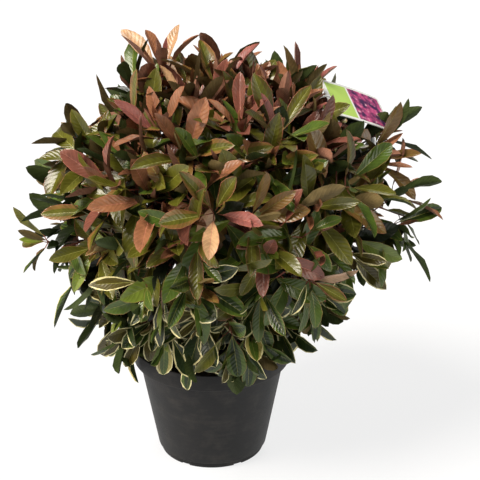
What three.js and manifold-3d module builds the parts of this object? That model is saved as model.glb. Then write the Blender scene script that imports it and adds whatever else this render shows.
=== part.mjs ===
// A red tip photinia in its grey nursery pot, built as separate solids: the pot, its soil, a short
// stem, the boughs that leave it, and one mass of twigs and leaves at the tip of each bough, with a
// blank-backed plant label strapped to one bough.
// Millimetres, +Z up. The origin is the middle of the pot's flat underside.
import * as THREE from "three";
import { mergeVertices } from "three/addons/utils/BufferGeometryUtils.js";
import Module from "manifold-3d";

const wasm = await Module();
wasm.setup();

// Pot
const POT_HEIGHT = 170;
const RIM_RADIUS = 115;
const COLLAR_HEIGHT = 26;
const COLLAR_DRAFT = 2;
const BODY_TOP_RADIUS = 105;
const BODY_FOOT_RADIUS = 79.5;
const FOOT_RADIUS = 75.5;
const FOOT_HEIGHT = 8;
const WALL = 2.4;
const FLOOR_THICKNESS = 7;
const LIP = 1.4;
const POT_SIDES = 32;
const DRAIN = { count: 6, radius: 5, ring: 56, slotWidth: 13, slotHeight: 1.8 };

// Soil
const SOIL_TOP = POT_HEIGHT - 10;
const SOIL_SAG = 3;
const SOIL_FLAT_RADIUS = 32;

// Gaps between touching solids, and the shortest edge that fusing may leave
const CLEAR = 0.3;
const LIMB_GROWTH = 0.36;
const SPACE_MARGIN = 0.6;
const SHORTEST_EDGE = 0.1;

// Trunk, from its cut at the soil to its fork
const GROUND = SOIL_TOP + CLEAR;
const TRUNK_HEIGHT = 58;
const TRUNK_RADII = [11.5, 9];
const TRUNK_LEAN = [3, 1];
const TRUNK_SUNK = 2;
const TRUNK_SIDES = 8;
const ROOT_FLARE = 7;

// Limbs: radii at both ends, where they leave what carries them, and how they turn up at their tips
const LIMB_SIDES = 5;
const LEADER = { radii: [6, 3.2], steps: 4 };
const SHOULDER = { radii: [5.2, 3], steps: 4, from: [0.7, 0.9], polar: 45, lift: 0.5 };
const SKIRT = { radii: [4, 2.6], steps: 3, from: [0.34, 0.5], polar: 58, lift: 0.45 };
const TOP = { radii: [4, 2.6], steps: 3, from: 0.3, every: 0.1, leaveLift: 0.3, lift: 0.6 };
const WAIST = { radii: [4, 2.6], steps: 3, from: 0.42, follow: 0.7, lift: 0.2 };
const CURVE_REACH = 0.38;

// Crown: how far the leaves reach from its centre
const CROWN_CENTRE = new THREE.Vector3(20, 4, 350);
const CROWN_SIDE = 257;
const CROWN_UP = 240;
const CROWN_DOWN = 240;
const CROWN_POWERS = { up: 2.2, down: 1.6 };

// Where the crown is not round: long shoots that stand out of it, and two hollow places, which have a
// gain below 0. Their place, how broad they are, and how much longer the crown reaches there
const SPROUTS = [
  { polar: 27, turn: 150, width: 12, gain: 0.3 },
  { polar: 62, turn: 170, width: 13, gain: 0.2 },
  { polar: 90, turn: 190, width: 17, gain: 0.22 },
  { polar: 62, turn: 10, width: 13, gain: 0.25 },
  { polar: 80, turn: 357, width: 14, gain: 0.2 },
  { polar: 98, turn: 346, width: 15, gain: 0.24 },
  { polar: 84, turn: 84, width: 16, gain: 0.18 },
  { polar: 80, turn: 268, width: 14, gain: 0.12 },
  { polar: 48, turn: 160, width: 14, gain: -0.14 },
  { polar: 121, turn: 196, width: 11, gain: 0.32 },
  { polar: 122, turn: 349, width: 26, gain: -0.23 },
];
const BOUGH_SHARE = 0.44;
const HUB_SHARE = 0.56;
const SHOOT_SHARES = [0.8, 0.7];
const SPACE_SHARE = 0.8;

// Tiers of foliage: where each mass lies, as the angle from straight up, how far its shoots reach
// beside the others', and how far its shoots droop and its leaves hang
const TIERS = [
  { name: "crown", reach: 1, count: 1, polar: 0, turn: 0, droop: -0.25, hang: -0.25, leaf: 96 },
  { name: "top", reach: 1, count: 5, polar: 35, turn: 20, droop: -0.2, hang: -0.2, leaf: 96 },
  { name: "shoulder", reach: 1, count: 7, polar: 62, turn: 12, droop: 0, hang: 0, leaf: 94 },
  { name: "waist", reach: 1, count: 7, polar: 90, turn: 38, droop: 0.2, hang: 0.2, leaf: 88 },
  { name: "skirt", reach: 1.04, count: 6, polar: 131, turn: 30, droop: 1, hang: 0.3, leaf: 70 },
];
const PLACE_JITTER = { turn: 10, polar: 8 };

// Twigs of a mass: a stem on from the bough, and shoots that spread from it
const HUB_LEAD = 8;
const HUB_RADII = [3, 2.6];
const TWIG_RADII = [2.4, 1.8];
const TWIG_SIDES = 3;
const SHOOTS = 5;
const SHOOT_SPREADS = [3, 14];
const SHOOT_STARTS = [0.75, 0.97];
const SHOOT_TURN_JITTER = 30;
const SHOOT_RISE = 0.35;

// Whorls of leaves: how far up the shoot, how wide they stand open, and which shoots have them
const WHORLS = [
  { along: 1, open: [34, 60], every: 1 },
  { along: 0.55, open: [62, 84], every: SHOOTS },
];
const WHORL_LEAVES = 5;
const WHORL_RADIUS = 3.4;
const WHORL_HALF_HEIGHT = 0.8;

// Leaves, as shares of their length
const LEAF_LENGTHS = [0.78, 1.06];
const LEAF_WIDTH = 0.42;
const LEAF_WIDEST = 0.58;
const LEAF_FOLD = 0.35;
const LEAF_SKYWARD = 0.7;
const LEAF_WAVER = 0.2;
const LEAF_OUTWARD = 0.3;
const LEAF_TRIES = [0, 0.3, 0.6];
const LEAF_SHRINK = 0.25;
const UP = new THREE.Vector3(0, 0, 1);

// Plant label: where its card is, which way its edges run, and the bough it is strapped to
const LABEL = {
  width: 112,
  height: 70,
  thickness: 1.4,
  corner: 5,
  strap: 2.6,
  centre: [203, 46, 508],
  right: [0.78, 0.477, -0.396],
  upward: [-0.281, 0.843, 0.463],
  bough: "bough_top_1",
  boughAlong: 0.85,
  margin: 0.8,
};

const COLOURS = {
  pot: 0x34343a,
  soil: 0x1c1613,
  bark: 0x4a3a2c,
  crown: 0x7d4a3c,
  top: 0x84523e,
  shoulder: 0x7a5f3a,
  waist: 0x556433,
  skirt: 0x4f6b35,
  label: 0xc0587c,
};

const radians = THREE.MathUtils.degToRad;
const mix = THREE.MathUtils.lerp;

// Random numbers from 0 to 1 that are the same on each run, from a whole number as seed
function seeded(seed) {
  let state = Math.imul(seed + 77, 2654435761) >>> 0;
  const draw = () => {
    state = (Math.imul(state, 1664525) + 1013904223) >>> 0;
    return state / 4294967296;
  };
  draw();
  draw();
  return draw;
}

// A closed geometry as a solid
function solid(geometry) {
  const bare = geometry.clone();
  bare.deleteAttribute("normal");
  bare.deleteAttribute("uv");
  const merged = mergeVertices(bare, 1e-3);
  const corners = merged.index.array;
  const faces = [];
  for (let i = 0; i < corners.length; i += 3) {
    const [a, b, c] = corners.slice(i, i + 3);
    if (a !== b && b !== c && c !== a) faces.push(a, b, c);
  }
  return new wasm.Manifold(
    new wasm.Mesh({
      numProp: 3,
      vertProperties: new Float32Array(merged.attributes.position.array),
      triVerts: new Uint32Array(faces),
    }),
  );
}

// A solid as a geometry
function geometryOf(made) {
  const mesh = made.getMesh();
  const places = new Float32Array(mesh.numVert * 3);
  for (let i = 0; i < mesh.numVert; i++) {
    const from = i * mesh.numProp;
    places.set(mesh.vertProperties.subarray(from, from + 3), i * 3);
  }
  const geometry = new THREE.BufferGeometry();
  geometry.setAttribute("position", new THREE.BufferAttribute(places, 3));
  geometry.setIndex(new THREE.BufferAttribute(new Uint32Array(mesh.triVerts), 1));
  geometry.computeVertexNormals();
  return geometry;
}

// The biggest of the bodies in a solid, without scraps and sealed hollows
function mainBody(made) {
  const bodies = made.decompose();
  return bodies.reduce((best, body) => (body.volume() > best.volume() ? body : best), bodies[0]);
}

function material(colour, roughness) {
  return new THREE.MeshStandardMaterial({ color: colour, roughness, metalness: 0 });
}

function named(name, geometry, finish) {
  const mesh = new THREE.Mesh(geometry, finish);
  mesh.name = name;
  return mesh;
}

function lathe(profile) {
  const points = profile.map(([radius, height]) => new THREE.Vector2(radius, height));
  const geometry = new THREE.LatheGeometry(points, POT_SIDES);
  geometry.rotateX(Math.PI / 2);
  return solid(geometry);
}

// The pot: a tapered wall with a wide collar, and holes in its floor that drain out under its foot
function makePot() {
  const collarFoot = POT_HEIGHT - COLLAR_HEIGHT;
  const wall = lathe([
    [0, 0],
    [FOOT_RADIUS - 1, 0],
    [FOOT_RADIUS, 1],
    [FOOT_RADIUS, FOOT_HEIGHT],
    [BODY_FOOT_RADIUS, FOOT_HEIGHT + 1],
    [BODY_TOP_RADIUS, collarFoot],
    [RIM_RADIUS - COLLAR_DRAFT, collarFoot + 1],
    [RIM_RADIUS, POT_HEIGHT - LIP],
    [RIM_RADIUS - LIP, POT_HEIGHT],
    [RIM_RADIUS - 2 * LIP, POT_HEIGHT - 1],
    [RIM_RADIUS - COLLAR_DRAFT - WALL, collarFoot + WALL],
    [BODY_TOP_RADIUS - WALL, collarFoot],
    [BODY_FOOT_RADIUS - WALL, FLOOR_THICKNESS],
    [0, FLOOR_THICKNESS],
  ]);
  const cuts = [];
  for (let i = 0; i < DRAIN.count; i++) {
    const turn = (i * 2 * Math.PI) / DRAIN.count;
    const hole = new THREE.CylinderGeometry(DRAIN.radius, DRAIN.radius, 3 * FLOOR_THICKNESS, 8);
    hole.rotateX(Math.PI / 2).translate(DRAIN.ring, 0, 0).rotateZ(turn);
    const slotLength = RIM_RADIUS - DRAIN.ring;
    const slot = new THREE.BoxGeometry(slotLength, DRAIN.slotWidth, 2 * DRAIN.slotHeight);
    slot.translate(DRAIN.ring + slotLength / 2, 0, 0).rotateZ(turn);
    cuts.push(solid(hole), solid(slot));
  }
  return wall.subtract(wasm.Manifold.union(cuts));
}

// The soil, which fills the pot up to just under its rim and stands highest round the trunk
function makeSoil() {
  const collarFoot = POT_HEIGHT - COLLAR_HEIGHT;
  const seat = WALL + CLEAR;
  const topRadius = RIM_RADIUS - COLLAR_DRAFT - seat;
  return lathe([
    [0, FLOOR_THICKNESS + CLEAR],
    [BODY_FOOT_RADIUS - seat, FLOOR_THICKNESS + CLEAR],
    [BODY_TOP_RADIUS - seat, collarFoot + CLEAR],
    [topRadius, collarFoot + seat],
    [topRadius, SOIL_TOP - SOIL_SAG],
    [SOIL_FLAT_RADIUS, SOIL_TOP],
    [0, SOIL_TOP],
  ]);
}

// The space that leaves stay out of at the pot: the pot and all that is in it, a little larger
function makePotGuard() {
  const collarFoot = POT_HEIGHT - COLLAR_HEIGHT;
  const grow = 2 * SPACE_MARGIN;
  return lathe([
    [0, -1],
    [BODY_FOOT_RADIUS + grow, -1],
    [BODY_TOP_RADIUS + grow, collarFoot - 2 * grow],
    [RIM_RADIUS + grow, collarFoot - grow],
    [RIM_RADIUS + grow, POT_HEIGHT + grow],
    [0, POT_HEIGHT + grow],
  ]);
}

// A row of points on a curve that leaves one point and arrives at another in given directions
function curvePoints(start, startWay, end, endWay, steps) {
  const reach = start.distanceTo(end) * CURVE_REACH;
  const curve = new THREE.CubicBezierCurve3(
    start,
    start.clone().addScaledVector(startWay, reach),
    end.clone().addScaledVector(endWay, -reach),
    end,
  );
  return Array.from({ length: steps + 1 }, (_, i) => curve.getPoint(i / steps));
}

// The place and the direction at a share of the way along a row of points
function alongRow(points, share) {
  const last = points.length - 2;
  const step = Math.min(Math.floor(share * (last + 1)), last);
  const place = points[step].clone().lerp(points[step + 1], share * (last + 1) - step);
  return { place, way: points[step + 1].clone().sub(points[step]).normalize() };
}

// A tapering limb of a few flat sides along a row of points. radiusAt gives its radius from 0 to 1
// along it. Each ring lies across the mean of the directions of the two stretches that meet there.
function limbGeometry(points, radiusAt, sides) {
  const steps = points.length - 1;
  const ways = points.slice(1).map((point, i) => point.clone().sub(points[i]).normalize());
  let side = acrossAxis(ways[0])[0];
  const places = [];
  const faces = [];
  for (let i = 0; i <= steps; i++) {
    const before = ways[Math.max(i - 1, 0)];
    const along = before.clone().add(ways[Math.min(i, steps - 1)]).normalize();
    side = side.clone().addScaledVector(along, -side.dot(along)).normalize();
    const other = new THREE.Vector3().crossVectors(along, side);
    const radius = radiusAt(i / steps);
    for (let j = 0; j < sides; j++) {
      const angle = (2 * Math.PI * j) / sides;
      const corner = points[i].clone().addScaledVector(side, radius * Math.cos(angle));
      places.push(...corner.addScaledVector(other, radius * Math.sin(angle)).toArray());
    }
  }
  for (let i = 0; i < steps; i++) {
    for (let j = 0; j < sides; j++) {
      const a = i * sides + j;
      const b = i * sides + ((j + 1) % sides);
      faces.push(a, b, b + sides, a, b + sides, a + sides);
    }
  }
  for (let j = 1; j < sides - 1; j++) {
    const last = steps * sides;
    faces.push(0, j + 1, j, last, last + j, last + j + 1);
  }
  const geometry = new THREE.BufferGeometry();
  geometry.setAttribute("position", new THREE.Float32BufferAttribute(places, 3));
  geometry.setIndex(faces);
  return geometry;
}

// A unit vector from its angle from straight up and its angle round the crown, in degrees
function direction(polar, turn) {
  const a = radians(polar);
  const b = radians(turn);
  return new THREE.Vector3(Math.sin(a) * Math.cos(b), Math.sin(a) * Math.sin(b), Math.cos(a));
}

// How far the crown reaches from its centre in a direction: a rounded box, more tapered below, and
// further round each sprout
function crownReach(way) {
  const across = Math.hypot(way.x, way.y);
  const tall = way.z > 0 ? CROWN_UP : CROWN_DOWN;
  const power = way.z > 0 ? CROWN_POWERS.up : CROWN_POWERS.down;
  const sum = (across / CROWN_SIDE) ** power + (Math.abs(way.z) / tall) ** power;
  let gain = 1;
  for (const sprout of SPROUTS) {
    const off = way.angleTo(direction(sprout.polar, sprout.turn)) / radians(sprout.width);
    gain += sprout.gain * Math.exp(-off * off);
  }
  return sum ** (-1 / power) * gain;
}

function inCrown(way, share) {
  return CROWN_CENTRE.clone().addScaledVector(way, crownReach(way) * share);
}

// The masses of foliage, each with its direction in the crown and the middle of its space
function planMasses() {
  const masses = [];
  for (const tier of TIERS) {
    for (let i = 0; i < tier.count; i++) {
      const draw = seeded(masses.length * 31);
      const turn = tier.turn + (360 * i) / tier.count + (draw() - 0.5) * PLACE_JITTER.turn;
      const polar = tier.polar + (tier.polar > 0 ? (draw() - 0.5) * PLACE_JITTER.polar : 0);
      const way = direction(polar, turn);
      const middle = inCrown(way, SPACE_SHARE);
      masses.push({ tier, number: i + 1, index: masses.length, way, middle });
    }
  }
  return masses;
}

// Limbs: the trunk, the leader that carries it on, and a bough to each mass. Each gives way to those
// made before it, with a clearance between them.
function makeLimbs(masses) {
  const limbs = [];
  const groundBlock = new THREE.BoxGeometry(RIM_RADIUS, RIM_RADIUS, SOIL_TOP);
  const ground = solid(groundBlock.translate(0, 0, GROUND - SOIL_TOP / 2));
  function add(name, points, radiusAt, sides = LIMB_SIDES) {
    let made = solid(limbGeometry(points, radiusAt, sides)).subtract(ground);
    for (const other of limbs) made = made.subtract(other.grown);
    const wider = (extra) => (along) => radiusAt(along) + extra;
    const grown = solid(limbGeometry(points, wider(LIMB_GROWTH), sides));
    const guard = solid(limbGeometry(points, wider(2 * SPACE_MARGIN), sides));
    const limb = { name, points, radiusAt, made: mainBody(made), grown, guard };
    limbs.push(limb);
    return limb;
  }
  const taper = (radii) => (along) => mix(...radii, along);
  const inTier = (name) => masses.filter((mass) => mass.tier.name === name);
  const tipOf = (mass) => inCrown(mass.way, BOUGH_SHARE);
  const outward = (mass, lift) => mass.way.clone().addScaledVector(UP, lift).normalize();
  const evenly = (mass, i) => mass.tier.turn + (360 * i) / mass.tier.count;

  const foot = new THREE.Vector3(0, 0, GROUND - TRUNK_SUNK);
  const fork = new THREE.Vector3(...TRUNK_LEAN, GROUND + TRUNK_HEIGHT);
  const flare = (along) => mix(...TRUNK_RADII, along) + ROOT_FLARE * (1 - along) ** 5;
  const trunk = add("trunk", curvePoints(foot, UP, fork, UP, 5), flare, TRUNK_SIDES);

  const [topMost] = inTier("crown");
  const leaderFoot = fork.clone().addScaledVector(UP, CLEAR);
  const leaderPoints = curvePoints(leaderFoot, UP, tipOf(topMost), UP, LEADER.steps);
  topMost.limb = add("leader", leaderPoints, taper(LEADER.radii));

  for (const [name, plan] of [["shoulder", SHOULDER], ["skirt", SKIRT]]) {
    inTier(name).forEach((mass, i) => {
      const start = alongRow(trunk.points, plan.from[i % 2]).place;
      const away = direction(plan.polar, evenly(mass, i));
      const points = curvePoints(start, away, tipOf(mass), outward(mass, plan.lift), plan.steps);
      mass.limb = add(`bough_${name}_${mass.number}`, points, taper(plan.radii));
    });
  }
  inTier("top").forEach((mass, i) => {
    const start = alongRow(topMost.limb.points, TOP.from + TOP.every * i).place;
    const away = outward(mass, TOP.leaveLift);
    const points = curvePoints(start, away, tipOf(mass), outward(mass, TOP.lift), TOP.steps);
    mass.limb = add(`bough_top_${mass.number}`, points, taper(TOP.radii));
  });
  const shoulders = inTier("shoulder");
  inTier("waist").forEach((mass, i) => {
    const fork = alongRow(shoulders[i].limb.points, WAIST.from);
    const away = tipOf(mass).sub(fork.place).normalize().addScaledVector(fork.way, WAIST.follow);
    const arrive = outward(mass, WAIST.lift);
    const points = curvePoints(fork.place, away.normalize(), tipOf(mass), arrive, WAIST.steps);
    mass.limb = add(`bough_waist_${mass.number}`, points, taper(WAIST.radii));
  });
  return limbs;
}

// The far corners of a leaf: the widest place on either side, and the tip. Its halves fold upwards.
function leafCorners(leaf) {
  const side = new THREE.Vector3().crossVectors(leaf.way, leaf.up).normalize();
  const half = LEAF_WIDTH / 2;
  const at = (along, across) =>
    leaf.root
      .clone()
      .addScaledVector(leaf.way, along * leaf.length)
      .addScaledVector(side, across * leaf.length)
      .addScaledVector(leaf.up, Math.abs(across) * LEAF_FOLD * leaf.length);
  return [at(LEAF_WIDEST, half), at(1, 0), at(LEAF_WIDEST, -half)];
}

function meshOf(places, faces) {
  const geometry = new THREE.BufferGeometry();
  const numbers = places.flatMap((place) => place.toArray());
  geometry.setAttribute("position", new THREE.Float32BufferAttribute(numbers, 3));
  geometry.setIndex(faces);
  return geometry;
}

// A leaf by itself: a thin kite, thickest at its root
function leafGeometry(leaf) {
  const top = leaf.root.clone().addScaledVector(leaf.up, WHORL_HALF_HEIGHT);
  const bottom = leaf.root.clone().addScaledVector(leaf.up, -WHORL_HALF_HEIGHT);
  const faces = [0, 2, 3, 0, 3, 4, 1, 3, 2, 1, 4, 3, 0, 1, 2, 1, 0, 4];
  return meshOf([top, bottom, ...leafCorners(leaf)], faces);
}

// A whorl as one solid: a flat button round the twig, and a leaf of eight faces on each of its sides
// that isn't left plain
function whorlGeometry(whorl) {
  const places = [];
  for (const height of [WHORL_HALF_HEIGHT, -WHORL_HALF_HEIGHT]) {
    for (let k = 0; k < WHORL_LEAVES; k++) {
      const out = whorl.outAt(k - 0.5).multiplyScalar(WHORL_RADIUS);
      places.push(whorl.place.clone().add(out).addScaledVector(whorl.axis, height));
    }
  }
  const faces = [];
  for (let k = 1; k < WHORL_LEAVES - 1; k++) {
    faces.push(0, k, k + 1, WHORL_LEAVES, WHORL_LEAVES + k + 1, WHORL_LEAVES + k);
  }
  whorl.leaves.forEach((leaf, k) => {
    const [a, b] = [k, (k + 1) % WHORL_LEAVES];
    const [c, d] = [a + WHORL_LEAVES, b + WHORL_LEAVES];
    if (!leaf) {
      faces.push(a, c, d, a, d, b);
      return;
    }
    const [right, tip, left] = [places.length, places.length + 1, places.length + 2];
    places.push(...leafCorners(leaf));
    faces.push(a, right, tip, a, tip, b, b, tip, left, a, c, right);
    faces.push(c, tip, right, c, d, tip, d, left, tip, b, left, d);
  });
  return meshOf(places, faces);
}

// The direction that a leaf's upper side faces: across its way, towards its twig's tip and the sky
function upperSide(way, axis) {
  const across = (vector) => vector.clone().addScaledVector(way, -vector.dot(way));
  return across(axis).normalize().addScaledVector(across(UP), LEAF_SKYWARD).normalize();
}

// Two unit vectors at right angles to an axis and to each other
function acrossAxis(axis) {
  const helper = Math.abs(axis.z) < 0.9 ? UP : new THREE.Vector3(1, 0, 0);
  const first = new THREE.Vector3().crossVectors(axis, helper).normalize();
  return [first, new THREE.Vector3().crossVectors(axis, first).normalize()];
}

// The whorls of leaves of a shoot: one that closes round its tip, and one that stands open below it
function growWhorls(points, tier, draw) {
  return WHORLS.map(({ along, open }) => {
    const { place, way: axis } = alongRow(points, along);
    const [first, second] = acrossAxis(axis);
    const startTurn = draw() * 360;
    const outAt = (k) => {
      const turn = radians(startTurn + (k * 360) / WHORL_LEAVES);
      return first.clone().multiplyScalar(Math.cos(turn)).addScaledVector(second, Math.sin(turn));
    };
    const leaves = Array.from({ length: WHORL_LEAVES }, (_, k) => {
      const out = outAt(k);
      const angle = radians(mix(...open, draw()));
      const way = axis.clone().multiplyScalar(Math.cos(angle)).addScaledVector(out, Math.sin(angle));
      way.addScaledVector(UP, (draw() - 0.5) * LEAF_WAVER - tier.hang).normalize();
      way.addScaledVector(out, Math.max(LEAF_OUTWARD - way.dot(out), 0)).normalize();
      const root = place.clone().addScaledVector(out, WHORL_RADIUS);
      return { root, axis, way, length: tier.leaf * mix(...LEAF_LENGTHS, draw()) };
    });
    return { place, axis, outAt, leaves };
  });
}

// The shoots of a mass: a stem from the bough's tip to a hub, and shoots from there to the crown's
// face, the first in the middle and the others round it
function growMass(mass) {
  const draw = seeded(1000 + mass.index * 17);
  const { place: tip, way: tipWay } = alongRow(mass.limb.points, 1);
  const start = tip.clone().addScaledVector(tipWay, CLEAR);
  const lead = start.clone().addScaledVector(tipWay, HUB_LEAD);
  const stem = [start, lead, inCrown(mass.way, HUB_SHARE)];
  const [first, second] = acrossAxis(mass.way);
  const startTurn = draw() * 360;
  const shoots = Array.from({ length: SHOOTS }, (_, i) => {
    const spread = SHOOT_SPREADS[i === 0 ? 0 : 1] * mix(0.85, 1.15, draw());
    const jitter = (draw() - 0.5) * SHOOT_TURN_JITTER;
    const turn = radians(startTurn + (360 * i) / (SHOOTS - 1) + jitter);
    const lean = Math.tan(radians(spread));
    const way = mass.way.clone().addScaledVector(first, lean * Math.cos(turn));
    way.addScaledVector(second, lean * Math.sin(turn)).normalize();
    const reach = SHOOT_SHARES[i === 0 ? 0 : 1] * mass.tier.reach;
    const end = inCrown(way, reach * mix(0.92, 1.06, draw()));
    const from = alongRow(stem, SHOOT_STARTS[i % 2]).place;
    const leave = end.clone().sub(from).normalize();
    const arrive = leave.clone().addScaledVector(UP, SHOOT_RISE - mass.tier.droop).normalize();
    const points = curvePoints(from, leave, end, arrive, 2);
    return { points, whorls: growWhorls(points, mass.tier, draw) };
  });
  return { stem, shoots };
}

// True if every corner of a geometry is nearer to this mass than to any other
function inOwnSpace(geometry, mass, masses) {
  const places = geometry.attributes.position;
  const corner = new THREE.Vector3();
  for (let i = 0; i < places.count; i++) {
    corner.fromBufferAttribute(places, i);
    const own = corner.distanceToSquared(mass.middle);
    for (const other of masses) {
      if (other === mass) continue;
      const apart = 2 * other.middle.distanceTo(mass.middle);
      if ((corner.distanceToSquared(other.middle) - own) / apart < SPACE_MARGIN) return false;
    }
  }
  return true;
}

// One mass as one solid: its twigs, and the leaves that keep to its space and off limbs and leaves
function makeMass(mass, masses, obstacles) {
  const { stem, shoots } = growMass(mass);
  const hub = solid(limbGeometry(stem, (along) => mix(...HUB_RADII, along), TWIG_SIDES));
  const grown = [];
  for (const shoot of shoots) {
    const geometry = limbGeometry(shoot.points, (along) => mix(...TWIG_RADII, along), TWIG_SIDES);
    const twig = solid(geometry);
    if (!inOwnSpace(geometry, mass, masses)) continue;
    if (!twig.intersect(obstacles).isEmpty()) continue;
    grown.push({ ...shoot, twig });
  }
  const whorls = [];
  let taken = hub;
  WHORLS.forEach(({ every }, which) => {
    for (const shoot of grown.filter((_, i) => i % every === 0)) {
      const whorl = shoot.whorls[which];
      const beside = grown.filter((other) => other !== shoot).map((other) => other.twig);
      const leaves = whorl.leaves.map((leaf) => {
        const fitted = fitLeaf(leaf, mass, masses, [obstacles, taken, ...beside]);
        if (fitted) taken = taken.add(solid(leafGeometry(fitted)));
        return fitted;
      });
      whorls.push(solid(whorlGeometry({ ...whorl, leaves })));
    }
  });
  const twigs = grown.map((shoot) => shoot.twig);
  return mainBody(wasm.Manifold.union([hub, ...twigs, ...whorls]).simplify(SHORTEST_EDGE));
}

// A leaf that fits, smaller and closer to its shoot if it has to be, or nothing if it can't fit
function fitLeaf(leaf, mass, masses, others) {
  for (const close of LEAF_TRIES) {
    const way = leaf.way.clone().lerp(leaf.axis, close).normalize();
    const length = leaf.length * (1 - LEAF_SHRINK * close);
    const fitted = { ...leaf, way, up: upperSide(way, leaf.axis), length };
    const geometry = leafGeometry(fitted);
    if (!inOwnSpace(geometry, mass, masses)) continue;
    const made = solid(geometry);
    if (others.every((other) => made.intersect(other).isEmpty())) return fitted;
  }
  return null;
}

// A box with cut corners that lies across a place, with its thickness along facing
function makeCard(right, upward, facing, centre, grow) {
  const halfWidth = LABEL.width / 2 + grow;
  const halfHeight = LABEL.height / 2 + grow;
  const outline = new THREE.Shape();
  outline.moveTo(-halfWidth, -halfHeight + LABEL.corner);
  outline.lineTo(-halfWidth + LABEL.corner, -halfHeight);
  outline.lineTo(halfWidth - LABEL.corner, -halfHeight);
  outline.lineTo(halfWidth, -halfHeight + LABEL.corner);
  outline.lineTo(halfWidth, halfHeight - LABEL.corner);
  outline.lineTo(halfWidth - LABEL.corner, halfHeight);
  outline.lineTo(-halfWidth + LABEL.corner, halfHeight);
  outline.lineTo(-halfWidth, halfHeight - LABEL.corner);
  const depth = LABEL.thickness + 2 * grow;
  const card = new THREE.ExtrudeGeometry(outline, { depth, bevelEnabled: false });
  card.translate(0, 0, -depth / 2);
  card.applyMatrix4(new THREE.Matrix4().makeBasis(right, upward, facing).setPosition(centre));
  return solid(card);
}

// The label: a card that lies back on the leaves, and a strap from it to a loop round a bough. With
// grow it is larger on every side, as the space that leaves keep out of.
function makeLabel(limbs, grow = 0) {
  const limb = limbs.find((one) => one.name === LABEL.bough);
  const { place: hold, way: axis } = alongRow(limb.points, LABEL.boughAlong);
  const right = new THREE.Vector3(...LABEL.right).normalize();
  const upward = new THREE.Vector3(...LABEL.upward);
  upward.addScaledVector(right, -upward.dot(right)).normalize();
  const facing = new THREE.Vector3().crossVectors(right, upward);
  const centre = new THREE.Vector3(...LABEL.centre);
  const card = makeCard(right, upward, facing, centre, grow);

  const ringRadius = limb.radiusAt(LABEL.boughAlong) + CLEAR + LABEL.strap / 2;
  const ring = new THREE.TorusGeometry(ringRadius, LABEL.strap / 2 + grow, 4, 10);
  ring.applyQuaternion(new THREE.Quaternion().setFromUnitVectors(UP, axis));
  ring.translate(hold.x, hold.y, hold.z);

  const edge = centre.clone().addScaledVector(right, LABEL.corner - LABEL.width / 2);
  const outward = edge.clone().sub(hold);
  outward.addScaledVector(axis, -outward.dot(axis)).normalize();
  const start = hold.clone().addScaledVector(outward, ringRadius);
  const strap = limbGeometry(curvePoints(start, outward, edge, right, 4), () => LABEL.strap / 2 + grow, 4);
  return wasm.Manifold.union([card, solid(ring), solid(strap)]);
}

function build() {
  const group = new THREE.Group();
  group.name = "potted_red_tip_photinia";
  group.add(named("pot", geometryOf(makePot()), material(COLOURS.pot, 0.62)));
  group.add(named("soil", geometryOf(makeSoil()), material(COLOURS.soil, 1)));
  const masses = planMasses();
  const limbs = makeLimbs(masses);
  const label = makeLabel(limbs);
  group.add(named("plant_label", geometryOf(label), material(COLOURS.label, 0.4)));
  for (const limb of limbs) {
    group.add(named(limb.name, geometryOf(limb.made), material(COLOURS.bark, 0.9)));
  }
  const guards = limbs.map((limb) => limb.guard);
  const obstacles = wasm.Manifold.union([...guards, makePotGuard(), makeLabel(limbs, LABEL.margin)]);
  for (const mass of masses) {
    const made = makeMass(mass, masses, obstacles);
    const name = `foliage_${mass.tier.name}_${mass.number}`;
    group.add(named(name, geometryOf(made), material(COLOURS[mass.tier.name], 0.5)));
  }
  return group;
}

export default build();
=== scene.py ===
"""A red tip photinia in its grey nursery pot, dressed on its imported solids.

Trunk, boughs, twigs and leaves grow by the same rule as the solids, and are carried on to finer
twigs and to more leaves within the same reach. Lengths in the rule are millimetres and angles are
degrees. Sizes and colours that a user may change are properties, in metres and radians.
"""

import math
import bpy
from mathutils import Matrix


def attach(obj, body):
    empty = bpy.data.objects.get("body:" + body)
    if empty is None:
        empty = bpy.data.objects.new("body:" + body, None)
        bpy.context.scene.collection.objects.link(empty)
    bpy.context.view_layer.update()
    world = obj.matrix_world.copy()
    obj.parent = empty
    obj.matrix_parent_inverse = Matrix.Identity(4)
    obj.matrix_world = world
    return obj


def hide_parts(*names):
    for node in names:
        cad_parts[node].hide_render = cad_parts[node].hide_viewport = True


bl_info = {
    "name": "Potted Red Tip Photinia",
    "version": (1, 0, 0),
    "blender": (4, 5, 0),
    "location": "View3D > Sidebar > Photinia",
    "description": "A potted red tip photinia: its leaves, twigs, bark, pot, soil and plant label",
    "category": "Add Mesh",
}

import bpy
import numpy as np
from bpy.props import FloatProperty, FloatVectorProperty, IntProperty, PointerProperty

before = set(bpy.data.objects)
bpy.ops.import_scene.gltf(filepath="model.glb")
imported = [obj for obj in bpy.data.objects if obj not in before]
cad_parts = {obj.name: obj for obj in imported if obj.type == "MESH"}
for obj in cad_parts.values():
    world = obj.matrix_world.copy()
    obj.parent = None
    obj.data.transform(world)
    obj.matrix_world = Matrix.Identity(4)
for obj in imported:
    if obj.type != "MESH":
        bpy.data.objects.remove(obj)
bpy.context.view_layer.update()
CAD_NODES = sorted(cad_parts)

MM = 0.001
UP = np.array([0.0, 0.0, 1.0])
SEEDS = {"reach": 41, "kinds": 29, "blades": 23}

# Pot and soil, beside the sizes that are properties
COLLAR_DRAFT = 2
FOOT_STEP = 4
FLOOR_THICKNESS = 7
LIP = 1.4
POT_SIDES = 128
DRAIN = {"count": 6, "radius": 5, "ring": 56, "slot_width": 13, "slot_height": 1.8}
SOIL_TOP = 160
SOIL_SAG = 3
SOIL_FLAT_RADIUS = 32
SOIL_RINGS = 76
SOIL_SIDES = 160
CLEAR = 0.3

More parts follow.
